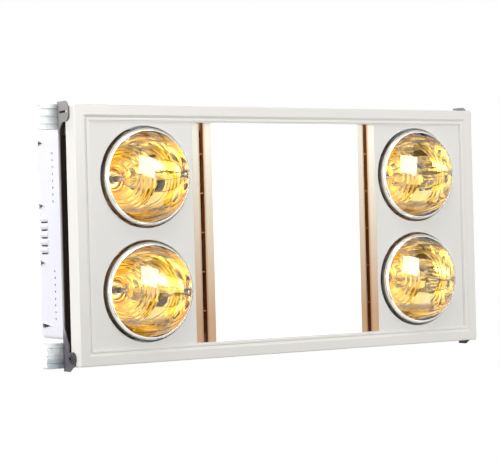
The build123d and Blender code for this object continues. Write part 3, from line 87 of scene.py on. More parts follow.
world = bpy.data.worlds.new("white_air")
bpy.context.scene.world = world
world.use_nodes = True
air_nodes = world.node_tree.nodes
air_nodes.clear()
air_work = summing(air_nodes)
air_path = air_nodes.new("ShaderNodeLightPath").outputs
air_share = air_work("MAXIMUM", air_path["Is Camera Ray"], air_path["Is Glossy Ray"])
air_share = air_work("MAXIMUM", air_share, air_path["Is Transmission Ray"])
air_light = feed(air_nodes.new("ShaderNodeBackground"), {"Color": AIR_TINT, "Strength": AIR_LIGHT})
air_seen = feed(air_nodes.new("ShaderNodeBackground"), {"Color": WHITE, "Strength": 1.0})
air_mix = feed(
    air_nodes.new("ShaderNodeMixShader"),
    {"Fac": air_share, 1: air_light.outputs[0], 2: air_seen.outputs[0]},
)
feed(air_nodes.new("ShaderNodeOutputWorld"), {"Surface": air_mix.outputs[0]})


def add_object(name, data):
    """Put a mesh, light or camera into the scene as an object."""
    thing = bpy.data.objects.new(name, data)
    bpy.context.collection.objects.link(thing)
    return thing


def new_material(name):
    """Make a material and return it with its nodes and its shader."""
    finish = bpy.data.materials.new(name)
    finish.use_nodes = True
    return finish, finish.node_tree.nodes, finish.node_tree.nodes["Principled BSDF"]


def object_place(nodes):
    """Add the coordinates on the object to a node tree and return them."""
    return nodes.new("ShaderNodeTexCoord").outputs["Object"]


def cell_greys(nodes, place, scale, distance="EUCLIDEAN"):
    """Add a pattern of cells and return random greys that differ from cell to cell."""
    cells = feed(nodes.new("ShaderNodeTexVoronoi"), {"Vector": place, "Scale": scale})
    cells.distance = distance
    greys = feed(nodes.new("ShaderNodeSeparateColor"), {"Color": cells.outputs["Color"]})
    return greys.outputs


def ranged(nodes, measure, start, end, low=0.0, high=1.0, curve="LINEAR"):
    """Add a range that turns start to end into low to high, and return its result."""
    span = nodes.new("ShaderNodeMapRange")
    span.interpolation_type = curve
    limits = {"From Min": start, "From Max": end, "To Min": low, "To Max": high}
    return feed(span, {"Value": measure, **limits}).outputs["Result"]


floor_mesh = bpy.data.meshes.new("room_floor")
floor_turns = ((-1, -1), (1, -1), (1, 1), (-1, 1))
floor_corners = [(x * FLOOR_HALF, y * FLOOR_HALF, FLOOR_LEVEL) for x, y in floor_turns]
floor_mesh.from_pydata(floor_corners, [], [(0, 1, 2, 3)])
floor = add_object("room_floor", floor_mesh)
floor_paint, floor_nodes, floor_shader = new_material("pale_floor")
feed(floor_shader, {"Base Color": FLOOR_COLOUR, "Roughness": FLOOR_ROUGHNESS})
floor_greys = cell_greys(floor_nodes, object_place(floor_nodes), FLOOR_CELLS, "CHEBYCHEV")
floor_glow = ranged(
    floor_nodes, floor_greys["Red"], GLOW_FROM, GLOW_TO, GLOW_LOW, GLOW_HIGH, "SMOOTHSTEP"
)
floor_mirrored = feed(
    floor_nodes.new("ShaderNodeEmission"), {"Color": WHITE, "Strength": floor_glow}
)
floor_work = summing(floor_nodes)
floor_path = floor_nodes.new("ShaderNodeLightPath").outputs
floor_lift = floor_work("MULTIPLY", floor_path["Is Camera Ray"], FLOOR_LIFT)
floor_white = feed(floor_nodes.new("ShaderNodeEmission"), {"Color": WHITE, "Strength": floor_lift})
floor_seen = feed(
    floor_nodes.new("ShaderNodeAddShader"), {0: floor_shader.outputs[0], 1: floor_white.outputs[0]}
)
floor_share = floor_work("MAXIMUM", floor_path["Is Glossy Ray"], floor_path["Is Transmission Ray"])
floor_mix = feed(
    floor_nodes.new("ShaderNodeMixShader"),
    {"Fac": floor_share, 1: floor_seen.outputs[0], 2: floor_mirrored.outputs[0]},
)
feed(floor_nodes["Material Output"], {"Surface": floor_mix.outputs[0]})
floor_mesh.materials.append(floor_paint)

CAMERA_RIGHT = (0.8411393, 0.0259077, -0.5401976)
SOFT_BOXES = {
    "front_box": ((0.42, -0.66, -2.13), 1.05, 28.5, (1.0, 0.985, 0.96)),
    "left_box": ((-2.4, -0.3, 0.25), 0.9, 38.0, (1.0, 0.99, 0.97)),
    "upper_box": ((-0.5, -2.2, -0.9), 1.0, 15.0, (1.0, 1.0, 1.0)),
    "back_box": ((-0.8, -1.2, 2.4), 1.6, 24.0, (0.97, 0.98, 1.0)),
}
for box_name, (place, side, watts, tint) in SOFT_BOXES.items():
    light = bpy.data.lights.new(box_name, "AREA")
    light.shape = "SQUARE"
    light.size = side
    light.energy = watts
    light.color = tint
    soft_box = add_object(box_name, light)
    soft_box.location = place
    right = Vector(CAMERA_RIGHT)
    away = Vector(place).normalized()
    level = (right - away * away.dot(right)).normalized()
    box_axes = Matrix((level, away.cross(level), away)).transposed()
    soft_box.rotation_mode = "QUATERNION"
    soft_box.rotation_quaternion = box_axes.to_quaternion()

LAMP_OUT = 0.225
SPILL_HEIGHT = 0.12
SPILL_WATTS = 0.03
SPILL_COLOUR = (1.0, 0.42, 0.10)
SPILL_RADIUS = 0.01
for spill_name, side in (("left_spill", -1), ("right_spill", 1)):
    light = bpy.data.lights.new(spill_name, "POINT")
    light.energy = SPILL_WATTS
    light.color = SPILL_COLOUR
    light.shadow_soft_size = SPILL_RADIUS
    spill = add_object(spill_name, light)
    spill.location = (side * LAMP_OUT, 0.0, SPILL_HEIGHT)

# Camera: a long lens below the left end of the fascia, level with its long sides.
CAMERA_PLACE = (-1.40653, -0.00512, -2.1138)
CAMERA_DOWN = (-0.0230027, 0.9996619, 0.0121260)
CAMERA_AHEAD = (0.5403291, 0.0022264, 0.8414509)
FOCAL_PIXELS = 1813.86
PHOTO_WIDTH = 500.0
SENSOR = 36.0
NEAREST = 0.05
FARTHEST = 60.0

camera_data = bpy.data.cameras.new("viewpoint")
camera_data.sensor_width = SENSOR
camera_data.lens = FOCAL_PIXELS / PHOTO_WIDTH * SENSOR
camera_data.clip_start = NEAREST
camera_data.clip_end = FARTHEST
camera = add_object("viewpoint", camera_data)
axes = [(CAMERA_RIGHT[row], -CAMERA_DOWN[row], -CAMERA_AHEAD[row]) for row in range(3)]
camera.matrix_world = Matrix.Translation(CAMERA_PLACE) @ Matrix(axes).to_4x4()
bpy.context.scene.camera = camera

# Housing: a deep tray of thin steel with a pale, faintly lavender powder coat. Its louvres and
# darts are pressed, and its vents punched, in the end wall before it is painted.
COAT_DETAIL = 4.0
COAT_RELIEF = 0.0006
DARK_GLOSS = 1.15
LIGHT_GLOSS = 0.85
SHEEN_GLOSS = 0.5


def coat_texture():
    """Make the shared effect of a coat or moulding: drifting tone, fine grain and its height."""
    group = bpy.data.node_groups.new("coat_texture", "ShaderNodeTree")
    face = group.interface
    face.new_socket("Vector", in_out="INPUT", socket_type="NodeSocketVector")
    measures = {"Grain Scale": 900.0, "Drift Scale": 7.0, "Drift": 0.4, "Grain": 0.24}
    for title, value in measures.items():
        face.new_socket(title, in_out="INPUT", socket_type="NodeSocketFloat").default_value = value
    for title in ("Tone", "Height"):
        face.new_socket(title, in_out="OUTPUT", socket_type="NodeSocketFloat")
    nodes = group.nodes
    work = summing(nodes)
    entry = nodes.new("NodeGroupInput").outputs
    tone = 0.5
    for share in ("Drift", "Grain"):
        noise = feed(
            nodes.new("ShaderNodeTexNoise"),
            {"Vector": entry["Vector"], "Scale": entry[f"{share} Scale"], "Detail": COAT_DETAIL},
        )
        height = noise.outputs["Fac"]
        tone = work("MULTIPLY_ADD", work("SUBTRACT", height, 0.5), entry[share], tone)
    feed(nodes.new("NodeGroupOutput"), {"Tone": tone, "Height": height})
    return group


COAT = coat_texture()


def blended(nodes, share, under, over, kind="MIX"):
    """Mix two colours, plain ones or other nodes' results, and return the mixture."""
    mix = nodes.new("ShaderNodeMix")
    mix.data_type = "RGBA"
    mix.blend_type = kind
    under, over = [(*tone, 1.0) if isinstance(tone, tuple) else tone for tone in (under, over)]
    return feed(mix, {"Factor": share, "A": under, "B": over}).outputs["Result"]


def emboss(shader, height, strength, distance):
    """Raise a shader's surface by a height that varies over it."""
    relief = shader.id_data.nodes.new("ShaderNodeBump")
    feed(relief, {"Strength": strength, "Distance": distance, "Height": height})
    feed(shader, {"Normal": relief.outputs["Normal"]})


def coated_finish(
    name, light, dark, rough, grain=900.0, drift=7.0, bump=0.05, metal=0.0, sheen=0.0
):
    """Make a painted, plated or moulded finish whose colour drifts between two tones."""
    finish, nodes, shader = new_material(name)
    coat = nodes.new("ShaderNodeGroup")
    coat.name = "coat"
    coat.node_tree = COAT
    feed(coat, {"Vector": object_place(nodes), "Grain Scale": grain, "Drift Scale": drift})
    tone = coat.outputs["Tone"]
    colour = blended(nodes, tone, dark, light)
    colour.node.name = "tones"
    gloss = ranged(nodes, tone, 0.0, 1.0, rough * DARK_GLOSS, rough * LIGHT_GLOSS)
    feed(shader, {"Base Color": colour, "Roughness": gloss, "Metallic": metal})
    feed(shader, {"Coat Weight": sheen, "Coat Roughness": rough * SHEEN_GLOSS})
    emboss(shader, coat.outputs["Height"], bump, COAT_RELIEF)
    return finish


def dress(finish, *nodes):
    """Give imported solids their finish."""
    for node in nodes:
        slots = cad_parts[node].data.materials
        slots.clear()
        slots.append(finish)


housing_coat = coated_finish(
    "housing_coat", light=(0.86, 0.86, 0.93), dark=(0.78, 0.78, 0.86),
    rough=0.42, grain=1400.0, drift=5.0, bump=0.12,
)
dress(housing_coat, "housing_tray")

# End brackets: folded steel with a slotted ear, a raised boss for the hinge screw, and a shelf
# riveted under the rails and screwed to the housing by a lip. Their grey coat is darker on the ear
# and darkest on the boss. The foot carries a dark purplish painted shade, and the shelf behind the
# arch a dark brown painted shade.
WEB_INNER = 0.3308
BOSS_FOOT = 0.3329
FOOT_FROM = 0.119
FOOT_TO = 0.132
EAR_FROM = -0.124
EAR_TO = -0.136
TONE_EDGE = 0.0001
# Painted shade: the dark brown of the shelf behind the arch and the dark purplish grey of the foot.
SHELF_PAINTED_SHADE = (0.048, 0.035, 0.027)
EAR_GREY = (0.315, 0.305, 0.30)
FOOT_PAINTED_SHADE = (0.120, 0.108, 0.124)
BOSS_GREY = (0.066, 0.062, 0.070)
bracket_coat = coated_finish(
    "bracket_coat", light=(0.43, 0.415, 0.415), dark=(0.34, 0.325, 0.33),
    rough=0.5, grain=1600.0, drift=14.0, bump=0.2,
)
BRACKET_SHINE = 0.3


def place_parts(nodes):
    """Add the coordinates on the object to a node tree and return their X, Y and Z."""
    return feed(nodes.new("ShaderNodeSeparateXYZ"), {"Vector": object_place(nodes)}).outputs


bracket_nodes = bracket_coat.node_tree.nodes
bracket_place = place_parts(bracket_nodes)
bracket_out = summing(bracket_nodes)("ABSOLUTE", bracket_place["X"])
bracket_tone = bracket_nodes["tones"].outputs["Result"]
# Zones of tone: the ear's and the boss's own greys, and the painted shade on foot and shelf.
for measure, start, end, tone in (
    (bracket_place["Y"], EAR_FROM, EAR_TO, EAR_GREY),
    (bracket_place["Y"], FOOT_FROM, FOOT_TO, FOOT_PAINTED_SHADE),
    (bracket_out, WEB_INNER + TONE_EDGE, WEB_INNER - TONE_EDGE, SHELF_PAINTED_SHADE),
    (bracket_out, BOSS_FOOT - TONE_EDGE, BOSS_FOOT + TONE_EDGE, BOSS_GREY),
):
    bracket_zone = ranged(bracket_nodes, measure, start, end)
    bracket_tone = blended(bracket_nodes, bracket_zone, bracket_tone, tone)
bracket_looks = {"Base Color": bracket_tone, "Specular IOR Level": BRACKET_SHINE}
feed(bracket_nodes["Principled BSDF"], bracket_looks)
dress(bracket_coat, "left_end_bracket", "right_end_bracket")

# Hinge screws: shouldered steel screws with a low head and a hexagon socket, blackened, driven
# through the bracket bosses into the end walls of the fascia.
black_oxide = coated_finish(
    "black_oxide", light=(0.060, 0.055, 0.058), dark=(0.038, 0.034, 0.036),
    rough=0.36, grain=2200.0, drift=60.0, bump=0.1,
)
dress(black_oxide, "hinge_screws")

# Catch springs: leaves of bright spring steel, bent to a nose that grips the fascia's end walls,
# spot welded under the bracket shelves.
spring_steel = coated_finish(
    "spring_steel", light=(0.60, 0.60, 0.59), dark=(0.48, 0.48, 0.47),
    rough=0.28, grain=2200.0, drift=40.0, metal=0.95,
)
dress(spring_steel, "left_catch_spring", "right_catch_spring")

# Mounting rails: two roll-formed strips of galvanised steel with three stiffening ribs each. Zinc
# spangle shows as faint crystals, and rolling leaves fine lines along them. Painted shade darkens
# the rear rail to a teal grey along its outer rib.
ROLLING_SCALE = (20.0, 900.0, 900.0)
ROLLING_BUMP = 0.06
ROLLING_RELIEF = 0.0004
SMOOTH_CRYSTAL = 0.8
ROUGH_CRYSTAL = 1.3
# Painted shade: a teal-grey darkening along the rear rail's outer rib.
RAIL_SHADE_FROM = 0.157
RAIL_SHADE_TO = 0.162
RAIL_PAINTED_SHADE = (0.62, 0.66, 0.70)


def spangled_zinc(name, light, dark, cells, rough, metal=0.75):
    """Make hot-dip zinc: crystal cells of slightly different greys, with fine rolling lines."""
    finish, nodes, shader = new_material(name)
    place = object_place(nodes)
    greys = cell_greys(nodes, place, cells)
    colour = blended(nodes, greys["Red"], dark, light)
    colour.node.name = "crystals"
    gloss = ranged(
        nodes, greys["Green"], 0.0, 1.0, rough * SMOOTH_CRYSTAL, rough * ROUGH_CRYSTAL
    )
    feed(shader, {"Base Color": colour, "Roughness": gloss, "Metallic": metal})
    stretch = feed(nodes.new("ShaderNodeMapping"), {"Vector": place, "Scale": ROLLING_SCALE})
    lines = feed(
        nodes.new("ShaderNodeTexNoise"), {"Vector": stretch.outputs["Vector"], "Scale": 1.0}
    )
    emboss(shader, lines.outputs["Fac"], ROLLING_BUMP, ROLLING_RELIEF)
    return finish


rail_zinc = spangled_zinc(
    "rail_zinc", light=(0.84, 0.88, 0.89), dark=(0.72, 0.77, 0.78),
    cells=120.0, rough=0.45, metal=0.3,
)
rail_nodes = rail_zinc.node_tree.nodes
# Painted shade on the rear rail's outer rib, multiplied over the crystals.
rail_shade_share = ranged(rail_nodes, place_parts(rail_nodes)["Y"], RAIL_SHADE_FROM, RAIL_SHADE_TO)
rail_crystals = rail_nodes["crystals"].outputs["Result"]
rail_tone = blended(rail_nodes, rail_shade_share, rail_crystals, RAIL_PAINTED_SHADE, "MULTIPLY")
feed(rail_nodes["Principled BSDF"], {"Base Color": rail_tone})
dress(rail_zinc, "front_mounting_rail", "rear_mounting_rail")

# Bracket screws and shelf rivets: zinc-plated steel. The screws have pan heads with a cross
# recess and hold the bracket lips; the rivets join shelves and rails.
FASTENER_SIZES = ("Head Radius", "Head Height", "Shank Radius", "Shank Length")
RECESS_SIZES = ("Recess Reach", "Recess Width", "Recess Depth")
HEAD_SIDES = 32
HEAD_RINGS = 6
HEAD_DOME = 0.45
HEAD_TUCK = 0.25
RECESS_REACH = 0.62
RECESS_WIDTH = 0.16
PAN_RECESS = 0.6
LARGE_HEAD = (0.0035, 0.0013, 0.002)
SMALL_HEAD = (0.0027, 0.0017, 0.0013)
SAME_PLACE = 1e-6


def growth_tree(name, lengths, places=()):
    """Make a geometry tree with named lengths, places and a finish; return it and its inputs."""
    tree = bpy.data.node_groups.new(name, "GeometryNodeTree")
    face = tree.interface
    face.new_socket("Geometry", in_out="INPUT", socket_type="NodeSocketGeometry")
    for title in lengths:
        face.new_socket(title, in_out="INPUT", socket_type="NodeSocketFloat")
    for title in places:
        face.new_socket(title, in_out="INPUT", socket_type="NodeSocketVector")
    face.new_socket("Finish", in_out="INPUT", socket_type="NodeSocketMaterial")
    face.new_socket("Geometry", in_out="OUTPUT", socket_type="NodeSocketGeometry")
    return tree, tree.nodes.new("NodeGroupInput").outputs


def end_growth(nodes, grown, finish):
    """Make what has grown real, give it its finish and lead it out of the tree."""
    real = feed(nodes.new("GeometryNodeRealizeInstances"), {0: grown})
    dressed = feed(
        nodes.new("GeometryNodeSetMaterial"), {"Geometry": real.outputs[0], "Material": finish}
    )
    feed(nodes.new("NodeGroupOutput"), {0: dressed.outputs[0]})


def fastener_tree():
    """Build the node tree that sets a screw or rivet on every point of a mesh."""
    tree, sizes = growth_tree("set_fasteners", FASTENER_SIZES + RECESS_SIZES)
    nodes = tree.nodes
    work = summing(nodes)

    def rod(radius, length, rings):
        """Add a closed cylinder centred on the origin."""
        made = nodes.new("GeometryNodeMeshCylinder")
        made.fill_type = "TRIANGLE_FAN"
        feed(made, {"Vertices": HEAD_SIDES, "Fill Segments": rings})
        return feed(made, {"Radius": radius, "Depth": length}).outputs["Mesh"]

    place = nodes.new("GeometryNodeInputPosition").outputs[0]
    parts = feed(nodes.new("ShaderNodeSeparateXYZ"), {0: place}).outputs
    across, along = work("ABSOLUTE", parts["X"]), work("ABSOLUTE", parts["Y"])
    rise = work("ADD", parts["Z"], work("MULTIPLY", sizes["Head Height"], 0.5))
    spread = work("SQRT", work("ADD", work("POWER", across, 2.0), work("POWER", along, 2.0)))
    edge = work("POWER", work("DIVIDE", spread, sizes["Head Radius"]), 4.0)
    domed = work("MULTIPLY", rise, work("SUBTRACT", 1.0, work("MULTIPLY", edge, HEAD_DOME)))
    in_arm = work("LESS_THAN", work("MINIMUM", across, along), sizes["Recess Width"])
    in_reach = work("LESS_THAN", work("MAXIMUM", across, along), sizes["Recess Reach"])
    on_top = work("GREATER_THAN", parts["Z"], 0.0)
    depth = work("MULTIPLY", on_top, sizes["Recess Depth"])
    sunk = work("MULTIPLY", work("MULTIPLY", in_arm, in_reach), depth)
    raised = feed(
        nodes.new("ShaderNodeCombineXYZ"),
        {"X": parts["X"], "Y": parts["Y"], "Z": work("SUBTRACT", domed, sunk)},
    )
    head = feed(
        nodes.new("GeometryNodeSetPosition"),
        {
            "Geometry": rod(sizes["Head Radius"], sizes["Head Height"], HEAD_RINGS),
            "Position": raised.outputs[0],
        },
    )

    tuck = work("MULTIPLY", sizes["Head Height"], HEAD_TUCK)
    middle = work("SUBTRACT", tuck, work("MULTIPLY", sizes["Shank Length"], 0.5))
    shank = feed(
        nodes.new("GeometryNodeTransform"),
        {
            "Geometry": rod(sizes["Shank Radius"], sizes["Shank Length"], 1),
            "Translation": feed(nodes.new("ShaderNodeCombineXYZ"), {"Z": middle}).outputs[0],
        },
    )

    joined = nodes.new("GeometryNodeJoinGeometry")
    for part in (head, shank):
        feed(joined, {0: part.outputs[0]})
    heading = nodes.new("GeometryNodeInputNamedAttribute")
    heading.data_type = "FLOAT_VECTOR"
    feed(heading, {"Name": "turn"})
    turned = feed(nodes.new("FunctionNodeEulerToRotation"), {0: heading.outputs["Attribute"]})
    placed = feed(
        nodes.new("GeometryNodeInstanceOnPoints"),
        {
            "Points": sizes["Geometry"],
            "Instance": joined.outputs[0],
            "Rotation": turned.outputs[0],
        },
    )
    end_growth(nodes, placed.outputs[0], sizes["Finish"])
    return tree


FASTENERS = fastener_tree()


def grown_piece(name, base, tree, sizes):
    """Run a node tree on a base mesh with the given sizes and return the plain mesh it makes."""
    piece = add_object(name, base)
    growth = piece.modifiers.new("growth", "NODES")
    growth.node_group = tree
    for item in tree.interface.items_tree:
        if item.item_type == "SOCKET" and item.in_out == "INPUT" and item.name in sizes:
            growth[item.identifier] = sizes[item.name]
    evaluated = piece.evaluated_get(bpy.context.evaluated_depsgraph_get())
    grown = bpy.data.meshes.new_from_object(evaluated)
    piece.modifiers.clear()
    piece.data = grown
    bpy.data.meshes.remove(base)
    return piece


def packed_boxes(node):
    """List the corners of each separate solid of a packed group, found on a merged copy."""
    copy = bmesh.new()
    copy.from_mesh(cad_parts[node].data)
    bmesh.ops.remove_doubles(copy, verts=copy.verts, dist=SAME_PLACE)
    copy.verts.ensure_lookup_table()
    seen = set()
    boxes = []
    for start in copy.verts:
        if start.index in seen:
            continue
        seen.add(start.index)
        reach, member = [start], []
        while reach:
            vert = reach.pop()
            member.append(vert.co.copy())
            for edge in vert.link_edges:
                other = edge.other_vert(vert)
                if other.index not in seen:
                    seen.add(other.index)
                    reach.append(other)
        low = Vector([min(point[axis] for point in member) for axis in range(3)])
        high = Vector([max(point[axis] for point in member) for axis in range(3)])
        boxes.append((low, high))
    copy.free()
    return boxes


def set_fasteners(node, body, way, head, recess=PAN_RECESS):
    """Put detailed screws or rivets where a packed group has plain ones, heads facing way(middle)."""
    radius, height, shank = head
    boxes = packed_boxes(node)
    base = bpy.data.meshes.new(f"{node}_seats")
    turns, seats, length = [], [], 0.0
    for low, high in boxes:
        middle = (low + high) / 2
        ahead = Vector(way(middle))
        half = abs((high - low).dot(ahead)) / 2
        seats.append(middle + ahead * (half - height))
        turns.append(Vector((0.0, 0.0, 1.0)).rotation_difference(ahead).to_euler())
        length = 2 * half - height
    base.from_pydata([tuple(seat) for seat in seats], [], [])
    turn = base.attributes.new("turn", "FLOAT_VECTOR", "POINT")
    for item, heading in zip(turn.data, turns):
        item.vector = tuple(heading)
    sizes = {
        "Head Radius": radius,
        "Head Height": height,
        "Shank Radius": shank,
        "Shank Length": length + height * HEAD_TUCK,
        "Recess Reach": radius * RECESS_REACH,
        "Recess Width": radius * RECESS_WIDTH,
        "Recess Depth": height * recess,
        "Finish": screw_zinc,
    }
    piece = grown_piece(f"set_{node}", base, FASTENERS, sizes)
    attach(piece, body)
    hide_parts(node)


screw_zinc = coated_finish(
    "screw_zinc", light=(0.72, 0.72, 0.68), dark=(0.60, 0.60, 0.56),
    rough=0.3, grain=2500.0, drift=60.0, metal=0.9,
)
set_fasteners(
    "bracket_screws", "housing", lambda spot: (math.copysign(1, spot.x), 0, 0), LARGE_HEAD
)
set_fasteners("shelf_rivets", "housing", lambda spot: (0, 0, -1), LARGE_HEAD, recess=0.0)

# Heat shields: aluminised sheet that stands between the lamps and the fan, its edges folded over
# and held under the housing top.
shield_sheet = spangled_zinc(
    "shield_sheet", light=(0.80, 0.80, 0.79), dark=(0.68, 0.68, 0.67),
    cells=420.0, rough=0.34,
)
dress(shield_sheet, "left_heat_shield", "right_heat_shield")

# Lamp bridges: hat channels of galvanised sheet, welded under the housing top. Pan-head screws
# from above hold the lampholders to them.
bridge_zinc = spangled_zinc(
    "bridge_zinc", light=(0.70, 0.72, 0.73), dark=(0.55, 0.57, 0.58),
    cells=150.0, rough=0.38,
)
dress(bridge_zinc, "left_lamp_bridge", "right_lamp_bridge")
HOLDER_HEAD = (0.0027, 0.0017, 0.0018)
set_fasteners("holder_screws", "housing", lambda spot: (0, 0, 1), HOLDER_HEAD)

# Lampholders: glazed porcelain with a bevelled mouth, screwed up against the bridges.
porcelain = coated_finish(
    "porcelain", light=(0.86, 0.84, 0.79), dark=(0.78, 0.75, 0.70),
    rough=0.16, grain=700.0, drift=30.0, bump=0.02, sheen=0.6,
)
dress(porcelain, *[f"lampholder_{number}" for number in (1, 2, 3, 4)])

# Heat lamps: blown hard glass, its rear half lined with a vapour-laid mirror that warms to gold
# towards the neck, where it is ribbed. In a band on either side of the filament the mirror is
# painted with dark reflections of the room, silver-grey on the -Y side and purplish on the +Y side.
# The screw cap is nickelled and cemented on.
LAMP_ROW = 0.0755
LAMP_SPOTS = [(sx * LAMP_OUT, sy * LAMP_ROW) for sx in (-1, 1) for sy in (-1, 1)]
LAMP_RADIUS = 0.065
LAMP_APEX = -0.052
DOME_RADIUS = 0.1092
SHOULDER_RADIUS = 0.00936
BODY_HEIGHT = 0.0960575
BODY_SHARE = 0.8427
NECK_RADIUS = 0.015
NECK_TOP = 0.100
BODY_ANGLE = 2 * math.atan2(LAMP_RADIUS - NECK_RADIUS, BODY_HEIGHT)
BODY_RADIUS = BODY_HEIGHT / math.sin(BODY_ANGLE) * BODY_SHARE
DOME_ANGLE = math.asin((LAMP_RADIUS - SHOULDER_RADIUS) / (DOME_RADIUS - SHOULDER_RADIUS))
LAMP_WAIST = LAMP_APEX + DOME_RADIUS - (DOME_RADIUS - SHOULDER_RADIUS) * math.cos(DOME_ANGLE)
GLASS_WALL = 0.0012
LAMP_STEPS = 96
LAMP_ROWS = 24
RIBBED_ROWS = 144


def bulb_front(inset, rows):
    """List (radius, height) from the bulb's apex over the dome and round the shoulder."""
    outline = []
    reach = DOME_RADIUS - inset
    for i in range(rows + 1):
        a = DOME_ANGLE * i / rows
        outline.append((reach * math.sin(a), LAMP_APEX + DOME_RADIUS - reach * math.cos(a)))
    reach = SHOULDER_RADIUS - inset
    for i in range(1, rows // 2 + 1):
        a = DOME_ANGLE + (math.pi / 2 - DOME_ANGLE) * i / (rows // 2)
        radius = LAMP_RADIUS - SHOULDER_RADIUS + reach * math.sin(a)
        outline.append((radius, LAMP_WAIST - reach * math.cos(a)))
    return outline


def bulb_back(inset, rows):
    """List (radius, height) from the bulb's waist over its body and throat to the neck."""
    outline = []
    body = BODY_RADIUS - inset
    for i in range(1, rows + 1):
        a = BODY_ANGLE * i / rows
        outline.append((LAMP_RADIUS - BODY_RADIUS + body * math.cos(a), LAMP_WAIST + body * math.sin(a)))
    fall = 1 - math.cos(BODY_ANGLE)
    throat = (LAMP_RADIUS - BODY_RADIUS * fall - NECK_RADIUS) / fall
    throat_z = LAMP_WAIST + (BODY_RADIUS + throat) * math.sin(BODY_ANGLE)
    for i in range(1, rows // 2 + 1):
        a = BODY_ANGLE * (1 - i / (rows // 2))
        reach = throat + inset
        outline.append((NECK_RADIUS - inset + reach * (1 - math.cos(a)), throat_z - reach * math.sin(a)))
    outline.append((NECK_RADIUS - inset, NECK_TOP - inset))
    return outline


def turned_piece(name, outline, spot, steps, closed):
    """Turn an outline of (radius, height) round a vertical axis at spot into a smooth mesh."""
    mesh = bmesh.new()
    rings = []
    turns = [2 * math.pi * k / steps for k in range(steps)]
    for radius, height in outline:
        if radius < SAME_PLACE:
            rings.append([mesh.verts.new((*spot, height))])
            continue
        ring = [(spot[0] + radius * math.cos(a), spot[1] + radius * math.sin(a)) for a in turns]
        rings.append([mesh.verts.new((*point, height)) for point in ring])
    pairs = list(zip(rings, rings[1:]))
    if closed:
        pairs.append((rings[-1], rings[0]))
    for low, high in pairs:
        for k in range(steps):
            n = (k + 1) % steps
            if len(low) == 1:
                mesh.faces.new((low[0], high[n], high[k]))
            elif len(high) == 1:
                mesh.faces.new((low[k], low[n], high[0]))
            else:
                mesh.faces.new((low[k], low[n], high[n], high[k]))
    bmesh.ops.recalc_face_normals(mesh, faces=mesh.faces)
    for face in mesh.faces:
        face.smooth = True
    data = bpy.data.meshes.new(name)
    mesh.to_mesh(data)
    mesh.free()
    return add_object(name, data)


def fit_to_housing(piece, finish, slot, *stands_for):
    """Give a made piece its finish, fix it to the housing and hide the solids it stands for."""
    if finish is not None:
        piece.data.materials.append(finish)
    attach(piece, "housing")
    if stands_for:
        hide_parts(*stands_for)


GLASS_TINT = (1.0, 0.99, 0.97, 1.0)
GLASS_WAVES = 26.0
GLASS_BUMP = 0.06
WAVE_RELIEF = 0.002
lamp_glass, glass_nodes, glass_shader = new_material("lamp_glass")
feed(glass_shader, {"Base Color": GLASS_TINT, "Roughness": 0.0})
feed(glass_shader, {"IOR": 1.5, "Transmission Weight": 1.0})
glass_waves = feed(
    glass_nodes.new("ShaderNodeTexNoise"),
    {"Vector": object_place(glass_nodes), "Scale": GLASS_WAVES},
)
emboss(glass_shader, glass_waves.outputs["Fac"], GLASS_BUMP, WAVE_RELIEF)

MIRROR_TONES = (
    (0.0, (1.0, 0.99, 0.96)),
    (0.15, (1.0, 0.97, 0.87)),
    (0.30, (1.0, 0.84, 0.44)),
    (0.55, (1.0, 0.67, 0.13)),
    (0.78, (1.0, 0.61, 0.09)),
    (1.0, (1.0, 0.74, 0.26)),
)
MIRROR_ROUGHNESS = 0.035
MIRROR_WAVES = 34.0
MIRROR_DETAIL = 3.0
MIRROR_BUMP = 0.10
# Painted reflection: dark bands that stand for the room's dark places mirrored in each lamp.
DARK_REFLECTION_INNER = 0.036
DARK_REFLECTION_OUTER = 0.057
DARK_REFLECTION_LOW = -0.014
DARK_REFLECTION_FADE = 0.007
DARK_REFLECTION_GAIN = 1.3
REFLECTED_SILVER = (0.58, 0.58, 0.62)
REFLECTED_PURPLE = (0.24, 0.19, 0.21)
lamp_mirror, mirror_nodes, mirror_shader = new_material("lamp_mirror")
mirror_parts = place_parts(mirror_nodes)
mirror_rise = ranged(mirror_nodes, mirror_parts["Z"], LAMP_WAIST, NECK_TOP)
mirror_ramp = feed(mirror_nodes.new("ShaderNodeValToRGB"), {"Fac": mirror_rise})
tones = mirror_ramp.color_ramp
tones.elements[0].position, tones.elements[1].position = 0.0, 1.0
tones.elements[0].color = (*MIRROR_TONES[0][1], 1.0)
tones.elements[1].color = (*MIRROR_TONES[-1][1], 1.0)
for position, colour in MIRROR_TONES[1:-1]:
    tones.elements.new(position).color = (*colour, 1.0)
mirror_waves = feed(
    mirror_nodes.new("ShaderNodeTexNoise"),
    {"Vector": object_place(mirror_nodes), "Scale": MIRROR_WAVES, "Detail": MIRROR_DETAIL},
)
mirror_work = summing(mirror_nodes)
mirror_row = mirror_work("SIGN", mirror_parts["Y"])
mirror_across = mirror_work("MULTIPLY_ADD", mirror_row, -LAMP_ROW, mirror_parts["Y"])
mirror_off = mirror_work("ABSOLUTE", mirror_across)
# Where the painted dark reflection lies: noisy bands either side of the filament, above a height.
dark_reflection_share = mirror_waves.outputs["Fac"]
for measure, near, full in (
    (mirror_off, DARK_REFLECTION_INNER, DARK_REFLECTION_INNER + DARK_REFLECTION_FADE),
    (mirror_off, DARK_REFLECTION_OUTER, DARK_REFLECTION_OUTER - DARK_REFLECTION_FADE),
    (mirror_parts["Z"], DARK_REFLECTION_LOW, DARK_REFLECTION_LOW + DARK_REFLECTION_FADE),
):
    dark_reflection_side = ranged(mirror_nodes, measure, near, full, curve="SMOOTHSTEP")
    dark_reflection_share = mirror_work("MULTIPLY", dark_reflection_share, dark_reflection_side)
dark_reflection_share = mirror_work("MULTIPLY", dark_reflection_share, DARK_REFLECTION_GAIN)
dark_reflection_share.node.use_clamp = True
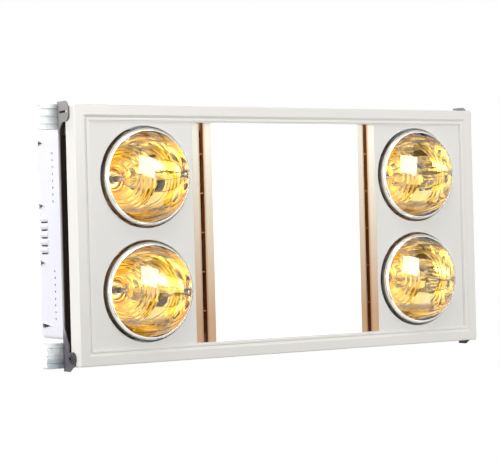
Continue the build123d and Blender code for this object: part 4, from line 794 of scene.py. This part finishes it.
# The painted reflection is silver-grey on the -Y side of each lamp and purplish on the +Y side.
dark_reflection_end = mirror_work("GREATER_THAN", mirror_across, 0.0)
dark_reflection_tone = blended(mirror_nodes, dark_reflection_end, REFLECTED_SILVER, REFLECTED_PURPLE)
mirror_tone = blended(mirror_nodes, dark_reflection_share, mirror_ramp.outputs["Color"], dark_reflection_tone)
feed(mirror_shader, {"Base Color": mirror_tone, "Metallic": 1.0, "Roughness": MIRROR_ROUGHNESS})
emboss(mirror_shader, mirror_waves.outputs["Fac"], MIRROR_BUMP, WAVE_RELIEF)

cap_nickel = coated_finish(
    "cap_nickel", light=(0.78, 0.70, 0.52), dark=(0.66, 0.58, 0.42),
    rough=0.25, grain=1500.0, drift=40.0, bump=0.04, metal=1.0,
)
MIRROR_GAP = 0.0002
MIRROR_SHEET = 0.0003
RIB_LOW = 0.030
RIB_HIGH = 0.050
RIB_COUNT = 4
RIB_HEIGHT = 0.0009


def ribbed(outline):
    """Raise the mirror's ring ribs on an outline, inwards between two heights."""
    rows = []
    for radius, height in outline:
        share = (height - RIB_LOW) / (RIB_HIGH - RIB_LOW)
        rise = RIB_HEIGHT * math.sin(math.pi * RIB_COUNT * share) ** 2 if 0 < share < 1 else 0.0
        rows.append((radius - rise, height))
    return rows


def mirror_outline(inset):
    """List (radius, height) of the mirror from the shoulder to the neck, with its ribs."""
    shoulder = bulb_front(inset, LAMP_ROWS)[-(LAMP_ROWS // 2) :]
    return ribbed(shoulder + bulb_back(inset, RIBBED_ROWS))


for number, spot in enumerate(LAMP_SPOTS, 1):
    outside = bulb_front(0.0, LAMP_ROWS) + bulb_back(0.0, LAMP_ROWS)
    inside = bulb_front(GLASS_WALL, LAMP_ROWS) + bulb_back(GLASS_WALL, LAMP_ROWS)
    skin = outside + inside[::-1]
    envelope = turned_piece(f"lamp_envelope_{number}", skin, spot, LAMP_STEPS, closed=False)
    fit_to_housing(envelope, lamp_glass, "lamp_glass", f"lamp_glass_{number}")
    face = mirror_outline(GLASS_WALL + MIRROR_GAP + MIRROR_SHEET)
    sheet = face + mirror_outline(GLASS_WALL + MIRROR_GAP)[::-1]
    mirror = turned_piece(f"lamp_mirror_{number}", sheet, spot, LAMP_STEPS, closed=True)
    fit_to_housing(mirror, lamp_mirror, "lamp_glass")
    dress(cap_nickel, f"lamp_cap_{number}")

# Lamp mounts: a pressed glass stem with a bright heat disc, and a ring of coiled tungsten on five
# hooked molybdenum wires.
STEM_OUTLINE = [
    (0.0, 0.0985),
    (0.0128, 0.0985),
    (0.0080, 0.0925),
    (0.0048, 0.0880),
    (0.0042, 0.0560),
    (0.0030, 0.0430),
    (0.0, 0.0410),
]
DISC_OUTLINE = [(0.0045, 0.0700), (0.0128, 0.0688), (0.0128, 0.0692), (0.0045, 0.0704)]
FILAMENT_HEIGHT = 0.0163
MOUNT_SIZES = {
    "Ring Radius": 0.012,
    "Coil Radius": 0.0011,
    "Wire Radius": 0.00028,
    "Hook Rise": 0.031,
    "Hook Wire": 0.0004,
}
COIL_TURNS = 44
COIL_STEPS = 8
COIL_START = math.radians(-160.0)
COIL_SWEEP = math.radians(320.0)
HOOKS = 5
HOOK_STEPS = 8
HOOK_BEND = {"Start": (0.25, 1.0), "Middle": (0.95, 0.75), "End": (1.0, 0.0)}
WIRE_SIDES = 6
STEM_STEPS = 32
DISC_STEPS = 48


def mount_tree():
    """Build the node tree that coils the filament round its ring and hooks it to the stem."""
    tree, sizes = growth_tree("coil_and_hooks", MOUNT_SIZES, ["Place"])
    nodes = tree.nodes
    work = summing(nodes)

    def drawn_wire(curve, radius):
        """Give a curve a round section with closed ends."""
        section = nodes.new("GeometryNodeCurvePrimitiveCircle")
        feed(section, {"Resolution": WIRE_SIDES, "Radius": radius})
        swept = nodes.new("GeometryNodeCurveToMesh")
        feed(swept, {"Curve": curve, "Profile Curve": section.outputs["Curve"], "Fill Caps": True})
        return swept.outputs["Mesh"]

    ring = nodes.new("GeometryNodeCurveArc")
    feed(ring, {"Resolution": COIL_TURNS * COIL_STEPS, "Radius": sizes["Ring Radius"]})
    feed(ring, {"Start Angle": COIL_START, "Sweep Angle": COIL_SWEEP})
    count = nodes.new("GeometryNodeInputIndex").outputs[0]
    curl = work("MULTIPLY", count, 2 * math.pi / COIL_STEPS)
    outward = nodes.new("ShaderNodeVectorMath")
    outward.operation = "NORMALIZE"
    feed(outward, {0: nodes.new("GeometryNodeInputPosition").outputs[0]})
    away = nodes.new("ShaderNodeVectorMath")
    away.operation = "SCALE"
    reach = work("MULTIPLY", work("COSINE", curl), sizes["Coil Radius"])
    feed(away, {0: outward.outputs[0], "Scale": reach})
    rise = work("MULTIPLY", work("SINE", curl), sizes["Coil Radius"])
    lift = feed(nodes.new("ShaderNodeCombineXYZ"), {"Z": rise})
    shift = feed(nodes.new("ShaderNodeVectorMath"), {0: away.outputs[0], 1: lift.outputs[0]})
    coiled = feed(
        nodes.new("GeometryNodeSetPosition"),
        {"Geometry": ring.outputs["Curve"], "Offset": shift.outputs[0]},
    )

    hook = feed(nodes.new("GeometryNodeCurveQuadraticBezier"), {"Resolution": HOOK_STEPS})
    for title, (reach, rise) in HOOK_BEND.items():
        point = nodes.new("ShaderNodeCombineXYZ")
        feed(point, {"X": work("MULTIPLY", sizes["Ring Radius"], reach)})
        feed(point, {"Z": work("MULTIPLY", sizes["Hook Rise"], rise)})
        feed(hook, {title: point.outputs[0]})
    turn = work("ADD", work("MULTIPLY", count, COIL_SWEEP / (HOOKS - 1)), COIL_START)
    heading = feed(nodes.new("ShaderNodeCombineXYZ"), {"Z": turn})
    turned = feed(nodes.new("FunctionNodeEulerToRotation"), {0: heading.outputs[0]})
    hooks = feed(
        nodes.new("GeometryNodeInstanceOnPoints"),
        {
            "Points": feed(nodes.new("GeometryNodePoints"), {"Count": HOOKS}).outputs[0],
            "Instance": drawn_wire(hook.outputs[0], sizes["Hook Wire"]),
            "Rotation": turned.outputs[0],
        },
    )

    joined = nodes.new("GeometryNodeJoinGeometry")
    for part in (drawn_wire(coiled.outputs[0], sizes["Wire Radius"]), hooks.outputs[0]):
        feed(joined, {0: part})
    moved = feed(
        nodes.new("GeometryNodeTransform"),
        {"Geometry": joined.outputs[0], "Translation": sizes["Place"]},
    )
    end_growth(nodes, moved.outputs[0], sizes["Finish"])
    return tree


MOUNTS = mount_tree()
tungsten = coated_finish(
    "tungsten", light=(0.42, 0.40, 0.37), dark=(0.30, 0.28, 0.26),
    rough=0.3, grain=3000.0, drift=100.0, metal=0.95,
)
disc_nickel = coated_finish(
    "disc_nickel", light=(0.95, 0.84, 0.55), dark=(0.88, 0.74, 0.42),
    rough=0.12, grain=2000.0, drift=60.0, metal=1.0,
)
for number, spot in enumerate(LAMP_SPOTS, 1):
    stem = turned_piece(f"lamp_stem_{number}", STEM_OUTLINE, spot, STEM_STEPS, closed=False)
    fit_to_housing(stem, lamp_glass, "lamp_mount", f"lamp_filament_{number}")
    disc = turned_piece(f"lamp_disc_{number}", DISC_OUTLINE, spot, DISC_STEPS, closed=True)
    fit_to_housing(disc, disc_nickel, "lamp_mount")
    seed = bpy.data.meshes.new(f"lamp_seed_{number}")
    seed.from_pydata([(0.0, 0.0, 0.0)], [], [])
    sizes = {**MOUNT_SIZES, "Place": (*spot, FILAMENT_HEIGHT), "Finish": tungsten}
    coil = grown_piece(f"lamp_coil_{number}", seed, MOUNTS, sizes)
    fit_to_housing(coil, None, "lamp_mount")

# Exhaust fan: a moulded spiral scroll with a bell-mouthed inlet ring, a black moulded impeller on
# a ground shaft, and an enamelled motor hung from a plate under the housing top.
scroll_plastic = coated_finish(
    "scroll_plastic", light=(0.30, 0.31, 0.32), dark=(0.24, 0.25, 0.26),
    rough=0.5, grain=1200.0, drift=10.0, bump=0.15,
)
dress(scroll_plastic, "fan_scroll", "inlet_ring")
impeller_plastic = coated_finish(
    "impeller_plastic", light=(0.07, 0.07, 0.075), dark=(0.045, 0.045, 0.05),
    rough=0.42, grain=1200.0, drift=20.0, bump=0.1,
)
dress(impeller_plastic, "impeller")
motor_enamel = coated_finish(
    "motor_enamel", light=(0.055, 0.055, 0.06), dark=(0.035, 0.035, 0.04),
    rough=0.3, grain=1800.0, drift=25.0, bump=0.15, sheen=0.3,
)
dress(motor_enamel, "fan_motor")
ground_steel = coated_finish(
    "ground_steel", light=(0.62, 0.62, 0.62), dark=(0.5, 0.5, 0.5),
    rough=0.22, grain=3000.0, drift=80.0, bump=0.04, metal=1.0,
)
dress(ground_steel, "fan_shaft")
dress(bridge_zinc, "motor_plate")
set_fasteners("motor_screws", "housing", lambda spot: (0, 0, -1), LARGE_HEAD)
capacitor_shell = coated_finish(
    "capacitor_shell", light=(0.84, 0.84, 0.82), dark=(0.76, 0.76, 0.74),
    rough=0.35, grain=900.0, drift=30.0, bump=0.04,
)
dress(capacitor_shell, "run_capacitor")

# Duct: a pale moulded spigot screwed to the housing's wall, with a gravity flap that swings on a
# steel spindle inside it.
spigot_plastic = coated_finish(
    "spigot_plastic", light=(0.80, 0.80, 0.79), dark=(0.72, 0.72, 0.71),
    rough=0.45, grain=1100.0, drift=12.0, bump=0.12,
)
dress(spigot_plastic, "duct_spigot")
set_fasteners("spigot_screws", "housing", lambda spot: (0, -1, 0), SMALL_HEAD)
flap_plastic = coated_finish(
    "flap_plastic", light=(0.66, 0.66, 0.66), dark=(0.58, 0.58, 0.58),
    rough=0.5, grain=1100.0, drift=18.0, bump=0.12,
)
dress(flap_plastic, "damper_flap")
dress(ground_steel, "damper_spindle")

# Wiring: a moulded terminal box and cover with a black terminal strip and gland, and a phenolic
# cut-out that opens the lamps' circuit when the housing gets too hot.
box_plastic = coated_finish(
    "box_plastic", light=(0.82, 0.82, 0.80), dark=(0.75, 0.75, 0.73),
    rough=0.4, grain=1300.0, drift=20.0, bump=0.15,
)
dress(box_plastic, "terminal_box", "terminal_cover")
black_plastic = coated_finish(
    "black_plastic", light=(0.05, 0.05, 0.052), dark=(0.03, 0.03, 0.032),
    rough=0.38, grain=1500.0, drift=30.0, bump=0.12,
)
dress(black_plastic, "terminal_block", "cable_gland")
phenolic = coated_finish(
    "phenolic", light=(0.06, 0.045, 0.035), dark=(0.035, 0.028, 0.022),
    rough=0.3, grain=1800.0, drift=60.0, bump=0.06,
)
dress(phenolic, "thermal_cutout")

# Fascia frame: one satin off-white moulding, stepped and beaded like a picture frame, with posts
# and bosses moulded on its back for the screws and the hinge.
fascia_plastic = coated_finish(
    "fascia_plastic", light=(0.85, 0.835, 0.805), dark=(0.80, 0.785, 0.755),
    rough=0.34, grain=1100.0, drift=3.0, sheen=0.15,
)
dress(fascia_plastic, "fascia_frame")

# Lamp plates: pressed steel with a cool white satin powder coat, folded stiff at the edges and
# screwed behind the frame.
plate_coat = coated_finish(
    "plate_coat", light=(0.84, 0.83, 0.805), dark=(0.78, 0.77, 0.745),
    rough=0.38, grain=1500.0, drift=4.0, bump=0.08,
)
dress(plate_coat, "left_lamp_plate", "right_lamp_plate")
set_fasteners("plate_screws", "hinged_fascia", lambda spot: (0, 0, 1), SMALL_HEAD)

# Slot trims: folded aluminium, bead blasted and anodised to champagne. Painted light runs over them
# from pale at the -Y end to deeper at the +Y end, and painted warm shade fills the slot behind the face.
CHAMPAGNE_PALE = (0.97, 0.95, 0.82)
CHAMPAGNE_DEEP = (0.62, 0.39, 0.22)
# Painted warm shade inside the slot, orange at the -Y end and dark red-brown at the +Y end.
SLOT_SHADE_PALE = (0.72, 0.27, 0.018)
SLOT_SHADE_DEEP = (0.34, 0.09, 0.012)
TRIM_END = 0.155
TRIM_FACE = -0.0207
TRIM_BACK = -0.0199
# Painted light: the champagne face is pale at the -Y end and deeper at the +Y end.
LIGHT_RUN_DEEPEST = -0.3
LIGHT_RUN_PALEST = 1.0
RUN_DRIFT = 0.3
champagne = coated_finish(
    "champagne", light=CHAMPAGNE_PALE, dark=CHAMPAGNE_DEEP,
    rough=0.5, grain=2600.0, drift=9.0, bump=0.2, metal=0.04,
)
trim_nodes = champagne.node_tree.nodes
trim_place = place_parts(trim_nodes)
trim_painted_light = ranged(trim_nodes, trim_place["Y"], TRIM_END, -TRIM_END, LIGHT_RUN_DEEPEST, LIGHT_RUN_PALEST)
trim_coat = trim_nodes["coat"].outputs["Tone"]
# The face's tone mixes random drift with the painted light along the trim.
trim_drift_and_light = summing(trim_nodes)("MULTIPLY_ADD", trim_coat, RUN_DRIFT, trim_painted_light)
trim_outer = feed(trim_nodes["tones"], {"Factor": trim_drift_and_light}).outputs["Result"]
trim_slot_shade = blended(trim_nodes, trim_painted_light, SLOT_SHADE_DEEP, SLOT_SHADE_PALE)
# Faces behind the trim's front face take the painted warm shade of the slot.
trim_slot_shade_share = ranged(trim_nodes, trim_place["Z"], TRIM_FACE, TRIM_BACK)
trim_tone = blended(trim_nodes, trim_slot_shade_share, trim_outer, trim_slot_shade)
feed(trim_nodes["Principled BSDF"], {"Base Color": trim_tone})
dress(champagne, "left_slot_trim", "right_slot_trim")

# Light panel: an opal tray over rows of small lights on a white board, on an aluminium tray that
# is screwed to the frame's posts and carries the driver.
opal = coated_finish(
    "opal", light=(0.97, 0.97, 0.97), dark=(0.95, 0.95, 0.95),
    rough=0.3, grain=600.0, drift=3.0, bump=0.02,
)
OPAL_GLOW = 0.22
feed(opal.node_tree.nodes["Principled BSDF"], {"Emission Color": WHITE, "Emission Strength": OPAL_GLOW})
dress(opal, "light_diffuser")
board_mask = coated_finish(
    "board_mask", light=(0.86, 0.87, 0.83), dark=(0.80, 0.81, 0.77),
    rough=0.35, grain=900.0, drift=20.0, bump=0.03,
)
dress(board_mask, "light_board")
phosphor = coated_finish(
    "phosphor", light=(0.93, 0.80, 0.30), dark=(0.86, 0.70, 0.22),
    rough=0.4, grain=3000.0, drift=200.0,
)
dress(phosphor, "light_chips")
tray_mill = coated_finish(
    "tray_mill", light=(0.80, 0.81, 0.82), dark=(0.70, 0.71, 0.72),
    rough=0.36, grain=2200.0, drift=12.0, bump=0.08, metal=0.9,
)
dress(tray_mill, "light_tray")
driver_case = coated_finish(
    "driver_case", light=(0.80, 0.80, 0.79), dark=(0.73, 0.73, 0.72),
    rough=0.5, grain=1200.0, drift=15.0, bump=0.15,
)
dress(driver_case, "light_driver")
set_fasteners("light_screws", "hinged_fascia", lambda spot: (0, 0, 1), SMALL_HEAD)
